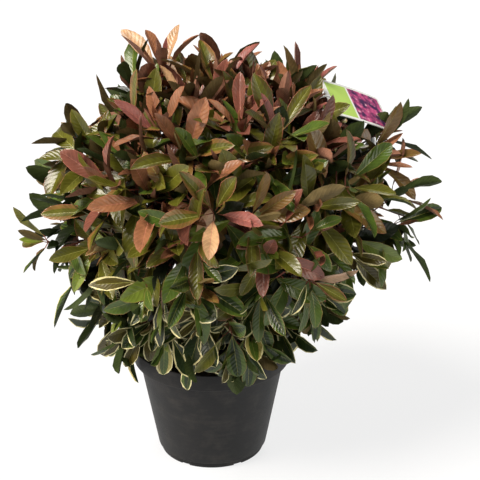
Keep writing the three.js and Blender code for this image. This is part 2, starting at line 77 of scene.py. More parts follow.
# The soil's noise: the size of its cells, and its seed
SOIL_NOISE = {"clods": (11, 7), "crumbs": (3.1, 5), "grit": (1.6, 6)}

# Trunk and limbs
GROUND = SOIL_TOP + CLEAR
TRUNK = {"height": 58, "radii": (11.5, 9), "lean": (3, 1), "sunk": 2, "flare": 7}
LEADER = {"radii": (6, 3.2), "steps": 4}
SHOULDER = {"radii": (5.2, 3), "steps": 4, "from": (0.7, 0.9), "polar": 45, "lift": 0.5}
SKIRT = {"radii": (4, 2.6), "steps": 3, "from": (0.34, 0.5), "polar": 58, "lift": 0.45}
TOP = {"radii": (4, 2.6), "steps": 3, "from": 0.3, "every": 0.1, "leave_lift": 0.3, "lift": 0.6}
WAIST = {"radii": (4, 2.6), "steps": 3, "from": 0.42, "follow": 0.7, "lift": 0.2}
CURVE_REACH = 0.38
LIMB_STATIONS = 44
LIMB_SIDES = 18

# Crown: how far the leaves reach from its centre
CROWN_CENTRE = np.array([20.0, 4.0, 350.0])
CROWN_SIDE = 257
CROWN_UP = 240
CROWN_DOWN = 240
CROWN_POWERS = {"up": 2.2, "down": 1.6}

# Where the crown is not round: long shoots that stand out of it, and two hollow places, which have a
# gain below 0. Their place, how broad they are, and how much longer the crown reaches there
SPROUT_TERMS = ("polar", "turn", "width", "gain")
SPROUTS = [
    dict(zip(SPROUT_TERMS, row))
    for row in (
        (27, 150, 12, 0.3),
        (62, 170, 13, 0.2),
        (90, 190, 17, 0.22),
        (62, 10, 13, 0.25),
        (80, 357, 14, 0.2),
        (98, 346, 15, 0.24),
        (84, 84, 16, 0.18),
        (80, 268, 14, 0.12),
        (48, 160, 14, -0.14),
        (121, 196, 11, 0.32),
        (122, 349, 26, -0.23),
    )
]

# Where boughs, stems and shoots end, as shares of that reach, and how far masses stray from even places
BOUGH_SHARE = 0.44
HUB_SHARE = 0.56
SHOOT_SHARES = (0.8, 0.7)
PLACE_JITTER = {"turn": 10, "polar": 8}

# Tiers of foliage: how far and where the masses lie, how their shoots and leaves hang, and how long
# their leaves are
TIER_TERMS = ("name", "reach", "count", "polar", "turn", "droop", "hang", "leaf")
TIERS = [
    dict(zip(TIER_TERMS, row))
    for row in (
        ("crown", 1, 1, 0, 0, -0.25, -0.25, 96),
        ("top", 1, 5, 35, 20, -0.2, -0.2, 96),
        ("shoulder", 1, 7, 62, 12, 0, 0, 94),
        ("waist", 1, 7, 90, 38, 0.2, 0.2, 88),
        ("skirt", 1.04, 6, 131, 30, 1, 0.3, 70),
    )
]
LOWEST = len(TIERS) - 1

# Twigs of a mass, as in the solids
HUB_LEAD = 8
HUB_RADII = (2.8, 2.2)
TWIG_RADII = (2.0, 1.2)
SHOOTS = 5
SHOOT_SPREADS = (3, 14)
SHOOT_STARTS = (0.75, 0.97)
SHOOT_TURN_JITTER = 30
SHOOT_RISE = 0.35
SHOOT_REACHES = (0.92, 1.06)
JITTER = (0.85, 1.15)
TWIG_STATIONS = 9
TWIG_SIDES = 7

# Whorls of leaves, as in the solids
WHORLS = [{"along": 1, "open": (34, 60), "age": 0.5}, {"along": 0.55, "open": (62, 84), "age": 0.1}]
WHORL_LEAVES = 5
WHORL_RADIUS = 3.4
LEAF_LENGTHS = (0.78, 1.06)
LEAF_SKYWARD = 0.7
LEAF_WAVER = 0.2
LEAF_OUTWARD = 0.3

# Finer growth: side twigs that leave each shoot, and young leaves that close round each tip
SIDE_TWIG = {"from": (0.25, 0.85), "open": (32, 62), "length": (30, 58), "radii": (1.3, 0.8)}
SIDE_TWIG_RISE = 0.2
SIDE_TWIG_DROOP = 0.6
SIDE_LEAF = {"open": (28, 78), "length": (0.88, 1.16), "spacing": 0.1}
YOUNG_LEAF = {"open": (10, 36), "length": (0.55, 0.88), "spacing": 0.02}
SPIRAL = 137.5
TWIG_REACH = 0.8

# How far leaves reach, as shares of the crown's reach, and how they are shortened to fit
LEAF_REACH = {"whorls": (1.0, 1.12), "finer": (0.86, 1.03)}
WAIST_LEAF_SHORTER = 0.05
LOW_LEAF_LONGER = 0.14
REACH_STEPS = 8
REACH_STEP = 0.93
SHORTEST_LEAF = 0.6

# How a leaf that touches the pot, the label or a limb is tried again
LEAF_GAP = 1.5
LEAF_TRIES = (0.3, 0.6)
TRY_SHORTER = 0.9
LIFTED_BELOW = SOIL_TOP + 90

# A leaf's grid: how far up the blade its rows lie, and how far from the midrib its columns lie. The
# stalk's points come last, and two places on the midrib are tried against the limbs
LEAF_ROWS = np.array([0.07, 0.22, 0.42, 0.62, 0.8, 0.93])
LEAF_COLUMNS = np.array([1, 0.9, 0.5, 0.1, 0.1, 0.5, 0.9, 1])
UNDER_COLUMNS = np.array([0.5, 0, 0.5])
LEAF_MIDDLE = 0.5
STALK_SIDES = 3
STALK_POINTS = 2 * STALK_SIDES + 2
SPINE_POINTS = [27, 35]

# A blade: powers of its outline towards its base and its tip, how its age changes it, how far leaves
# differ from each other, and the relief of its face
LEAF_BASE_POWER = 1.25
LEAF_TIP_POWER = 0.82
LOW_LEAF_BLUNTER = 0.82
YOUNG_FROM = 0.9
YOUNG_LEAF_NARROWER = 0.18
AGE_STRAIGHTENS = 1.25
AGE_FOLDS = 0.5
TIP_SPREAD = (0.9, 1.12)
WIDTH_SPREAD = (0.85, 1.12)
FOLD_SPREAD = (0.6, 1.35)
PALE_EDGE_SPREAD = (0.45, 2)
BEND_SPREAD = 0.22
LEAST_BEND = 0.05
TWIST_SPREAD = 0.28
TWIST_FROM = 0.2
FOLD_FLATTENS = 0.3
RIM_WAVE = {"height": 0.13, "count": 1.6, "shift": 1.9}
VEIN_RIPPLE = 0.28
MIDRIB = {"tip": 0.15, "base": 0.75, "share": 0.55}
MIDRIB_LIMITS = (0.01, 0.3)
RIM_LIMITS = (0.01, 0.42)
KEEL = 0.5
STALK_RADII = (1.0, 0.75)

# What a leaf of each kind shows: its blade near the midrib and further out, rim, vein and underside
RED = ("red_rim", "red_vein", "rosy_back")
TURNING = ("red_rim", "pale_vein", "dull_back")
GREEN = ("warm_rim", "pale_vein", "green_back")
EDGED = ("cream", "pale_vein", "green_back")
KINDS = {
    "maroon": ("maroon", "maroon", *RED),
    "copper": ("copper", "copper", *RED),
    "rose": ("rose", "rose", *RED),
    "bronze": ("bronze", "bronze", *TURNING),
    "turning": ("olive", "bronze", *TURNING),
    "tan": ("tan", "tan", "red_rim", "red_vein", "dull_back"),
    "olive": ("olive", "moss", *TURNING),
    "khaki": ("olive", "olive", *GREEN),
    "lime": ("lime", "lime", *GREEN),
    "green": ("green", "green", *GREEN),
    "deep": ("deep", "green", *GREEN),
    # Painted shade: leaves deep in the crown take this dark kind, partly the deeper green of old leaves
    # there
    "painted_shade": ("shade", "shade", "shade", "deep", "shade"),
    "edged": ("deep", "deep", *EDGED),
    "edged_light": ("deep", "green", *EDGED),
    "edged_moss": ("moss", "moss", "cream", "pale_vein", "dull_back"),
    "edged_gold": ("green", "gold", *EDGED),
}

# Which kinds the leaves are at each height, by how many in a hundred, and the same for young leaves.
# A few are tan, partly a painted highlight. Those deep in the crown take a dark kind of painted shade,
# partly the deeper green of old leaves there. A share of each spray takes one kind
HEIGHTS = (300, 350, 430, 505)
HEIGHT_SPREAD = 26
TAN_AND_PAINTED_SHEEN_SHARE = 0.02
PAINTED_SHADE_FROM = 0.6
SPRAY_HOLD = 0.5
MIXES = [
    {"edged": 32, "edged_light": 24, "edged_moss": 14, "edged_gold": 8, "deep": 16, "green": 6},
    {"olive": 6, "khaki": 16, "green": 28, "deep": 20, "lime": 8}
    | {"edged": 10, "edged_light": 8, "edged_moss": 4},
    {"copper": 1, "maroon": 1, "bronze": 2, "turning": 4}
    | {"olive": 15, "khaki": 31, "green": 36, "lime": 10},
    {"copper": 8, "maroon": 6, "rose": 2, "bronze": 8, "turning": 12}
    | {"olive": 25, "khaki": 25, "green": 14},
    {"copper": 44, "maroon": 10, "rose": 18, "bronze": 20, "turning": 5, "olive": 3},
]
YOUNG_MIXES = [
    {"edged_light": 50, "edged_moss": 30, "lime": 20},
    {"turning": 14, "olive": 42, "lime": 34, "copper": 6, "rose": 4},
    {"maroon": 8, "copper": 12, "rose": 6, "bronze": 22, "turning": 28, "lime": 24},
    {"maroon": 20, "copper": 34, "rose": 16, "bronze": 30},
    {"maroon": 20, "copper": 48, "rose": 24, "bronze": 8},
]

# The pieces of leaves, by slot, and the tiers that each takes
LEAF_PIECES = {
    "young_leaves": ("crown", "top"),
    "bronze_leaves": ("shoulder",),
    "green_leaves": ("waist",),
    "edged_leaves": ("skirt",),
}

# The leaves' finish: side veins, tones of the soft patches, and sheen above and below
VEINS = {"count": 11, "slant": 0.2}
PATCH_TONES = (0.76, 1.2)
LEAF_FINISHES = {
    "top": {"roughness": 0.29, "gloss": 0.45},
    "back": {"roughness": 0.55, "gloss": 0.2},
}

# Label, as in the solids
LABEL_CENTRE = np.array([203.0, 46.0, 508.0])
LABEL_RIGHT = np.array([0.78, 0.477, -0.396])
LABEL_UPWARD = np.array([-0.281, 0.843, 0.463])
LABEL_STRAP = 2.6
LABEL_BOUGH = "bough_top_1"
LABEL_ALONG = 0.85
LABEL_SHOWS = 45
LABEL_HIDDEN_FROM = -8
LABEL_GAPS = (1, 1, 3)
CARD_BOW = 2.5
CARD_BACK = 1.2

# The print on the card, as shares of its long and short side
PRINT = {"margin": 0.06, "band": (0.07, 0.4), "panel": (0.43, 0.965)}

# Stage: a floor just below the pot's foot, so that the two share no plane, and lamps by their
# strength beside the key or the side light, colour, and angles from overhead and round the plant
FLOOR_REACH = 30000
FLOOR_BELOW = 0.2
SENSOR_WIDTH = 36
SKY_COLOUR = (0.95, 0.98, 1, 1)
LAMPS = {
    "key": {"light": "key", "share": 1, "colour": (1, 0.92, 0.81), "turn": (36, -58)},
    "left": {"light": "side", "share": 1.8, "colour": (1, 0.84, 0.68), "turn": (78, -74)},
    "right": {"light": "side", "share": 1.7, "colour": (1, 0.97, 0.84), "turn": (62, 62)},
    "behind": {"light": "side", "share": 2.2, "colour": (1, 0.97, 0.92), "turn": (52, 168)},
}


def linear(code):
    """A colour written in hexadecimal as linear light: each share plus 0.055, over 1.055, to the 2.4."""
    shares = [((code >> shift) & 255) / 255 for shift in (16, 8, 0)]
    return [s / 12.92 if s <= 0.04045 else ((s + 0.055) / 1.055) ** 2.4 for s in shares]


def length_setting(name, description, millimetres):
    """A property that holds a length."""
    return FloatProperty(
        name=name,
        description=description,
        default=millimetres * MM,
        min=0,
        precision=4,
        subtype="DISTANCE",
        unit="LENGTH",
    )


def angle_setting(name, description, degrees):
    """A property that holds an angle."""
    return FloatProperty(
        name=name,
        description=description,
        default=math.radians(degrees),
        subtype="ANGLE",
        unit="ROTATION",
    )


def share_setting(name, description, value):
    """A property that holds a share from 0 to 1."""
    return FloatProperty(name=name, description=description, default=value, min=0, max=1, subtype="FACTOR")


def count_setting(name, description, value, limits):
    """A property that holds a whole number."""
    return IntProperty(name=name, description=description, default=value, min=limits[0], max=limits[1])


def strength_setting(name, description, value):
    """A property that holds the strength of a light."""
    return FloatProperty(name=name, description=description, default=value, min=0)


def colour_setting(name, description, code):
    """A property that holds a colour."""
    return FloatVectorProperty(
        name=name,
        description=description,
        default=linear(code),
        size=3,
        min=0,
        max=1,
        subtype="COLOR",
    )


class PHOTINIA_PG_pot(bpy.types.PropertyGroup):
    """Sizes and colours of the pot and its soil."""

    height: length_setting("Height", "From the floor to the top of the rim", 170)
    rim_radius: length_setting("Rim radius", "Across the widest place, from the middle", 115)
    collar_height: length_setting("Collar height", "Height of the straight band under the rim", 26)
    body_top_radius: length_setting("Body top radius", "Where the body meets the collar", 105)
    body_foot_radius: length_setting("Body foot radius", "Where the body meets the foot", 79.5)
    foot_height: length_setting("Foot height", "Height of the narrower foot", 8)
    wall: length_setting("Wall", "Thickness of the plastic", 2.4)
    plastic: colour_setting("Plastic", "Dark grey of the moulded plastic", 0x1B1B1C)
    dust: colour_setting("Dust", "Pale soil dust on the plastic", 0x4C4742)
    soil: colour_setting("Soil", "Wet dark peat", 0x1A1310)
    soil_crumb: colour_setting("Soil crumb", "Drier crumbs and bark chips", 0x43301F)
    grain: length_setting("Grain", "How far the crumbs of soil stand up", 1.6)


class PHOTINIA_PG_wood(bpy.types.PropertyGroup):
    """Relief and colours of the bark and of the young wood."""

    relief: share_setting("Relief", "Depth of the bark's ridges, as a share of the radius", 0.05)
    bark: colour_setting("Bark", "Grey brown of the old bark", 0x5A4636)
    fissure: colour_setting("Fissure", "Dark brown in the cracks", 0x271B14)
    twig: colour_setting("Twig", "Dark brown of the twigs", 0x3A2A1F)
    shoot: colour_setting("Shoot", "Red brown of this year's shoots", 0x6B3A2B)


class PHOTINIA_PG_leaf(bpy.types.PropertyGroup):
    """Numbers and proportions of the leaves."""

    young: count_setting("Young leaves", "Small leaves at each tip", 3, (0, 6))
    side_twigs: count_setting("Side twigs", "Finer twigs on a shoot", 1, (0, 4))
    side_leaves: count_setting("Side leaves", "Leaves on a finer twig", 4, (2, 9))
    width: share_setting("Width", "Width of a long leaf's blade as a share of its length", 0.38)
    skirt_width: share_setting("Low leaf width", "The same for the leaves over the pot", 0.48)
    stalk: share_setting("Stalk", "Length of the stalk as a share of the leaf", 0.12)
    fold: angle_setting("Fold", "How far each half of a blade is turned up", 26)
    arch: angle_setting("Arch", "How far an old leaf bends back from root to tip", 42)
    thickness: length_setting("Thickness", "Thickness of a blade", 0.4)
    rim: length_setting("Rim", "Width of the coloured rim of a leaf", 0.5)
    pale_edge: length_setting("Pale edge", "Width of the cream edge of the leaves over the pot", 1.5)


class PHOTINIA_PG_colour(bpy.types.PropertyGroup):
    """Colours of the leaves: blades, undersides, rims and veins."""

    maroon: colour_setting("Maroon", "Darkest young leaves", 0x724438)
    copper: colour_setting("Copper", "Copper brown young leaves", 0x8A5C40)
    rose: colour_setting("Rose", "Pink red young leaves", 0x86504A)
    bronze: colour_setting("Bronze", "Leaves on the turn from red to green", 0x74582C)
    # Partly a real pale brown, partly a painted highlight for leaves lit to a pale sheen
    tan: colour_setting("Tan", "A few bright pale brown leaves", 0xB4906C)
    olive: colour_setting("Olive", "Olive green leaves", 0x545418)
    lime: colour_setting("Lime", "Bright yellow green leaves", 0x667628)
    green: colour_setting("Green", "Grown green leaves", 0x42551A)
    deep: colour_setting("Deep green", "Old leaves in the shade", 0x1E2E0B)
    # Painted shade: the dark green of the leaves deep in the crown, partly the deeper green of old leaves
    # there
    shade: colour_setting("Shade", "Leaves deep in the crown", 0x171F0D)
    moss: colour_setting("Moss", "Brown green leaves over the pot", 0x4A4216)
    rosy_back: colour_setting("Rosy underside", "Underside of the red leaves", 0x8A6250)
    dull_back: colour_setting("Dull underside", "Underside of the leaves on the turn", 0x665838)
    # Painted shade: the green underside is made darker than the green top, against the light from the
    # floor below; its hue is the underside's own
    green_back: colour_setting("Green underside", "Underside of the green leaves", 0x364220)
    red_rim: colour_setting("Red rim", "Rim of the red leaves", 0xA0604C)
    warm_rim: colour_setting("Warm rim", "Rim of the green leaves", 0x8C7440)
    gold: colour_setting("Gold", "Outer part of the blotched leaves over the pot", 0x9C9050)
    cream: colour_setting("Cream", "Cream edge of the leaves over the pot", 0xDCD29C)
    red_vein: colour_setting("Red vein", "Midrib of the red leaves", 0xB07060)
    pale_vein: colour_setting("Pale vein", "Midrib of the green leaves", 0x8C8C48)


class PHOTINIA_PG_label(bpy.types.PropertyGroup):
    """Size and colours of the plain plant label."""

    width: length_setting("Width", "Long side of the card", 112)
    height: length_setting("Height", "Short side of the card", 70)
    thickness: length_setting("Thickness", "Thickness of the card", 1.2)
    corner: length_setting("Corner", "Radius of the card's corners", 5)
    card: colour_setting("Card", "White of the card", 0xDDE0E2)
    band: colour_setting("Band", "Yellow green band", 0xA9C964)
    petal: colour_setting("Petal", "Magenta pink of the printed petals", 0xC8548A)
    shade: colour_setting("Shade", "Dark purple between the petals", 0x3E2350)


class PHOTINIA_PG_stage(bpy.types.PropertyGroup):
    """Camera, floor and light."""

    distance: length_setting("Distance", "From the camera to what it looks at", 2000)
    elevation: angle_setting("Elevation", "How far the camera looks down", 22.49)
    aim_across: length_setting("Aim across", "How far to the right of the pot's middle it looks", 41)
    aim_height: length_setting("Aim height", "Height that it looks at", 325.2)
    lens: FloatProperty(name="Lens", description="Focal length in mm", default=106.6, unit="CAMERA")
    sky: strength_setting("Sky", "Strength of the light from all sides", 0.08)
    key: strength_setting("Key", "Strength of the soft key light", 5.3)
    side: strength_setting("Side", "Strength of the low lights from both sides and from behind", 0.5)
    softness: angle_setting("Softness", "How wide each lamp is across", 30)
    floor: colour_setting("Floor", "Pale floor", 0x6E7074)
    glow: strength_setting("Glow", "How strongly the floor glows, like a light table", 0.77)


def mm(length):
    """A length in metres as millimetres."""
    return length / MM


def mix(low, high, share):
    """The value at a share of the way from low to high."""
    return low + (high - low) * share


def unit(vectors):
    """Each vector divided by its length."""
    return vectors / np.linalg.norm(vectors, axis=-1, keepdims=True)


def dot(first, second):
    """The scalar product of each pair of vectors, kept as a column."""
    return np.sum(first * second, axis=-1, keepdims=True)


def across(vectors, ways):
    """Each vector less its part along its way."""
    return vectors - ways * dot(vectors, ways)


def across_axis(axis):
    """Two unit vectors at right angles to an axis and to each other."""
    helper = UP if abs(axis[2]) < 0.9 else np.array([1.0, 0.0, 0.0])
    first = unit(np.cross(axis, helper))
    return first, unit(np.cross(axis, first))


def around(first, second, turn):
    """The direction at a turn in radians from one direction towards another at right angles to it."""
    return first * math.cos(turn) + second * math.sin(turn)


def seeded(seed):
    """Numbers from 0 to 1, the same each run: state times 1664525 plus 1013904223, in 32 bits."""
    state = ((seed + 77) * 2654435761) % 2**32

    def draw():
        nonlocal state
        state = (state * 1664525 + 1013904223) % 2**32
        return state / 2**32

    draw()
    draw()
    return draw


def ring_faces(rings, sides):
    """Faces of a closed surface of rings round a path: quads between neighbouring rings, and a fan
    of triangles to a pole at each end. The poles are the two points after the rings."""
    ring = np.arange(rings * sides).reshape(rings, sides)
    turned = np.roll(ring, -1, axis=1)
    quads = np.stack([ring[:-1], turned[:-1], turned[1:], ring[1:]], axis=-1).reshape(-1, 4)
    first = np.full(sides, rings * sides)
    fans = [np.stack([first, turned[0], ring[0]], axis=-1)]
    fans.append(np.stack([first + 1, ring[-1], turned[-1]], axis=-1))
    return quads, np.concatenate(fans)


def grid_quads(grid):
    """Quads between the neighbouring rows and columns of a grid of point numbers."""
    corners = [grid[:-1, :-1], grid[:-1, 1:], grid[1:, 1:], grid[1:, :-1]]
    return np.stack(corners, axis=-1).reshape(-1, 4)


def copies(faces, count, stride):
    """The same faces for each of a count of like surfaces, whose points follow each other."""
    steps = stride * np.arange(count)
    return (faces[None] + steps[:, None, None]).reshape(-1, faces.shape[1])


def curve_points(start, start_way, end, end_way, steps):
    """Points on a cubic curve. With s the share along it, the point is (1-s)^3 times the start plus
    3s(1-s)^2 and 3s^2(1-s) times the two handles plus s^3 times the end."""
    reach = np.linalg.norm(end - start) * CURVE_REACH
    first = start + start_way * reach
    second = end - end_way * reach
    s = np.linspace(0, 1, steps + 1)[:, None]
    return (1 - s) ** 3 * start + 3 * s * (1 - s) ** 2 * first + 3 * s**2 * (1 - s) * second + s**3 * end


def along_row(points, share):
    """The place and the direction at a share of the way along a row of points."""
    last = len(points) - 2
    step = min(int(share * (last + 1)), last)
    place = mix(points[step], points[step + 1], share * (last + 1) - step)
    return place, unit(points[step + 1] - points[step])


def tubes(paths, radii):
    """Closed tubes along rows of points. A point at angle a on a ring is the ring's middle plus the
    radius times (side cos a + other sin a), where side is carried on from ring to ring and made
    square to the path. radii holds one radius for each tube, ring and side. The ends close in a
    pole, a little beyond the last ring."""
    count, rings, sides = radii.shape
    ways = np.gradient(paths, axis=1)
    ways = unit(ways)
    side = np.stack([across_axis(way)[0] for way in ways[:, 0]])
    angles = 2 * np.pi * np.arange(sides) / sides
    rows = []
    for i in range(rings):
        side = unit(across(side, ways[:, i]))
        other = np.cross(ways[:, i], side)
        turn = side[:, None] * np.cos(angles)[:, None] + other[:, None] * np.sin(angles)[:, None]
        rows.append(paths[:, i, None] + turn * radii[:, i, :, None])
    body = np.stack(rows, axis=1).reshape(count, rings * sides, 3)
    ends = np.stack([paths[:, 0], paths[:, -1] + ways[:, -1] * radii[:, -1].mean(1)[:, None]], axis=1)
    points = np.concatenate([body, ends], axis=1).reshape(-1, 3)
    quads, fans = ring_faces(rings, sides)
    stride = rings * sides + 2
    return points, [copies(quads, count, stride), copies(fans, count, stride)]


def lathe(profile, sides):
    """A surface turned round the upright axis: a point at angle a is (r cos a, r sin a, z) for each
    radius r and height z of the profile, which starts and ends on the axis."""
    angles = 2 * np.pi * np.arange(sides) / sides
    profile = np.asarray(profile, float)
    r, z = profile[1:-1, 0, None], profile[1:-1, 1, None]
    body = np.stack([r * np.cos(angles), r * np.sin(angles), z + 0 * angles], axis=-1).reshape(-1, 3)
    ends = np.array([[0, 0, profile[0, 1]], [0, 0, profile[-1, 1]]])
    return np.concatenate([body, ends]), list(ring_faces(len(profile) - 2, sides))


def rounded(profile, steps=5):
    """A profile whose corners are rounded. Each corner is (r, z, size). Its arc is the curve
    (1-s)^2 A + 2s(1-s) P + s^2 B, where A and B lie that size before and after the corner P."""
    corners = [np.array(corner[:2], float) for corner in profile]
    row = [corners[0]]
    s = np.linspace(0, 1, steps)[:, None]
    for i in range(1, len(corners) - 1):
        size = profile[i][2]
        if size == 0:
            row.append(corners[i])
            continue
        a = corners[i] + unit(corners[i - 1] - corners[i]) * size
        b = corners[i] + unit(corners[i + 1] - corners[i]) * size
        row.extend((1 - s) ** 2 * a + 2 * s * (1 - s) * corners[i] + s**2 * b)
    row.append(corners[-1])
    return np.array(row)


def lattice_noise(x, y, cell, seed):
    """Smooth noise from -1 to 1: random heights on a square lattice, joined by 3t^2 - 2t^3."""
    heights = np.random.default_rng(seed).uniform(-1, 1, (256, 256))
    u, v = x / cell, y / cell
    i, j = np.floor(u).astype(int), np.floor(v).astype(int)
    s, t = u - i, v - j
    s, t = s * s * (3 - 2 * s), t * t * (3 - 2 * t)

    def height(a, b):
        return heights[(i + a) % 256, (j + b) % 256]

    return mix(mix(height(0, 0), height(1, 0), s), mix(height(0, 1), height(1, 1), s), t)


def make_piece(name, points, faces, materials, face_materials=None, sharp=None):
    """A mesh object at the origin from points in millimetres and faces grouped by their corners."""
    mesh = bpy.data.meshes.new(name)
    corners = np.concatenate([group.ravel() for group in faces]).astype(np.int32)
    counts = np.concatenate([np.full(len(group), group.shape[1]) for group in faces])
    starts = (np.cumsum(counts) - counts).astype(np.int32)
    mesh.vertices.add(len(points))
    mesh.vertices.foreach_set("co", (points * MM).astype(np.float32).ravel())
    mesh.loops.add(len(corners))
    mesh.loops.foreach_set("vertex_index", corners)
    mesh.polygons.add(len(starts))
    mesh.polygons.foreach_set("loop_start", starts)
    if face_materials is not None:
        mesh.polygons.foreach_set("material_index", np.asarray(face_materials, np.int32))
    mesh.polygons.foreach_set("use_smooth", np.ones(len(starts), bool))
    mesh.update(calc_edges=True)
    for material in materials:
        mesh.materials.append(material)
    if sharp is not None:
        mesh.set_sharp_from_angle(angle=math.radians(sharp))
    piece = bpy.data.objects.new(name, mesh)
    bpy.context.scene.collection.objects.link(piece)
    return piece


def map_places(piece, places):
    """Gives a piece a UV map from two shares for each of its points."""
    corners = np.empty(len(piece.data.loops), np.int32)
    piece.data.loops.foreach_get("vertex_index", corners)
    layer = piece.data.uv_layers.new(name="UV")
    layer.data.foreach_set("uv", places[corners].astype(np.float32).ravel())


def dress(piece, nodes):
    """A piece takes the place of its solids, which are hidden, and hangs from the root body."""
    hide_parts(*nodes)
    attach(piece, "root")
    return piece


class Value:
    """A socket of a material. Arithmetic on it adds Math nodes."""

    def __init__(self, finish, socket):
        self.finish = finish
        self.socket = socket

    def _math(self, operation, *terms):
        return self.finish.node("ShaderNodeMath", {"operation": operation}, dict(enumerate(terms)))

    def __add__(self, other):
        return self._math("ADD", self, other)

    def __mul__(self, other):
        return self._math("MULTIPLY", self, other)

    def __sub__(self, other):
        return self._math("SUBTRACT", self, other)

    def __gt__(self, other):
        return self._math("GREATER_THAN", self, other)

    def __lt__(self, other):
        return self._math("LESS_THAN", self, other)

    def cosine(self):
        return self._math("COSINE", self)


class Finish:
    """A material with one Principled shader, and the nodes that drive it."""

    def __init__(self, name, colour, roughness, **sockets):
        self.material = bpy.data.materials.new(name)
        self.material.use_nodes = True
        self.tree = self.material.node_tree
        self.shader = self.tree.nodes["Principled BSDF"]
        self.material.diffuse_color = (*colour, 1)
        self.feed(**{"Base Color": (*colour, 1), "Roughness": roughness, **sockets})

    def feed(self, **sockets):
        """Sets the shader's sockets to values or links."""
        for name, value in sockets.items():
            self._set(self.shader.inputs[name], value)

    def _set(self, socket, value):
        if isinstance(value, Value):
            self.tree.links.new(value.socket, socket)
        else:
            socket.default_value = value

    def node(self, kind, settings, inputs, output=0):
        """A node of a kind with its settings, then its sockets. Gives one of its outputs."""
        made = self.tree.nodes.new(kind)
        for name, value in settings.items():
            if name == "ramp":
                self._stops(made.color_ramp, value)
            else:
                setattr(made, name, value)
        for name, value in inputs.items():
            self._set(made.inputs[name], value)
        return Value(self, made.outputs[output])

    def _stops(self, ramp, stops):
        while len(ramp.elements) < len(stops):
            ramp.elements.new(1)
        for element, (place, level) in zip(ramp.elements, stops):
            element.position = place
            element.color = (level, level, level, 1)

    def place(self, kind="Object"):
        """The place on the piece, in metres, or its own UV map."""
        return self.node("ShaderNodeTexCoord", {}, {}, kind)

    def stretched(self, place, scale):
        """A place scaled along each axis."""
        return self.node("ShaderNodeMapping", {}, {"Vector": place, "Scale": scale})

    def axis(self, place, name):
        """One axis of a place, named X, Y or Z."""
        return self.node("ShaderNodeSeparateXYZ", {}, {"Vector": place}, name)

    def noise(self, scale, detail=3, rough=0.5, place=None):
        """Noise from 0 to 1. The scale is its bumps in a metre."""
        inputs = {"Vector": place or self.place(), "Scale": scale, "Detail": detail, "Roughness": rough}
        return self.node("ShaderNodeTexNoise", {}, inputs, "Fac")

    def ramp(self, value, *stops):
        """A value carried through stops of place and level."""
        return self.node("ShaderNodeValToRGB", {"ramp": stops}, {"Fac": value})

    def blend(self, share, low, high):
        """The colour at a share of the way from low to high."""
        colours = [tuple(c) + (1,) if not isinstance(c, Value) else c for c in (low, high)]
        inputs = {0: share, 6: colours[0], 7: colours[1]}
        return self.node("ShaderNodeMix", {"data_type": "RGBA"}, inputs, 2)

    def bump(self, height, strength, distance):
        """A normal turned by a height. The distance is the height of a full step, in metres."""
        inputs = {"Height": height, "Strength": strength, "Distance": distance}
        return self.node("ShaderNodeBump", {}, inputs)


def direction(polar, turn):
    """A unit vector from its angle from straight up and its angle round the crown."""
    a = math.radians(polar)
    b = math.radians(turn)
    return np.array([math.sin(a) * math.cos(b), math.sin(a) * math.sin(b), math.cos(a)])


def crown_reach(ways):
    """How far the crown reaches in directions: ((across / side)^p + (up / height)^p)^(-1/p), and
    more round each sprout by its gain times e^(-off^2)."""
    above = ways[..., 2] > 0
    tall = np.where(above, CROWN_UP, CROWN_DOWN)
    power = np.where(above, CROWN_POWERS["up"], CROWN_POWERS["down"])
    side = np.hypot(ways[..., 0], ways[..., 1]) / CROWN_SIDE
    reach = (side**power + (np.abs(ways[..., 2]) / tall) ** power) ** (-1 / power)
    gain = 1
    for sprout in SPROUTS:
        cosine = np.clip(ways @ direction(sprout["polar"], sprout["turn"]), -1, 1)
        off = np.arccos(cosine) / math.radians(sprout["width"])
        gain = gain + sprout["gain"] * np.exp(-off * off)
    return reach * gain


def in_crown(way, share):
    """The place at a share of the crown's reach in a direction."""
    return CROWN_CENTRE + way * crown_reach(way) * share


def plan_masses():
    """The masses of foliage, each with its direction in the crown."""
    masses = []
    for tier in TIERS:
        for i in range(tier["count"]):
            draw = seeded(len(masses) * 31)
            turn = tier["turn"] + 360 * i / tier["count"] + (draw() - 0.5) * PLACE_JITTER["turn"]
            polar = tier["polar"]
            if polar > 0:
                polar = polar + (draw() - 0.5) * PLACE_JITTER["polar"]
            mass = {"tier": tier, "number": i + 1, "index": len(masses), "way": direction(polar, turn)}
            masses.append(mass)
    return masses


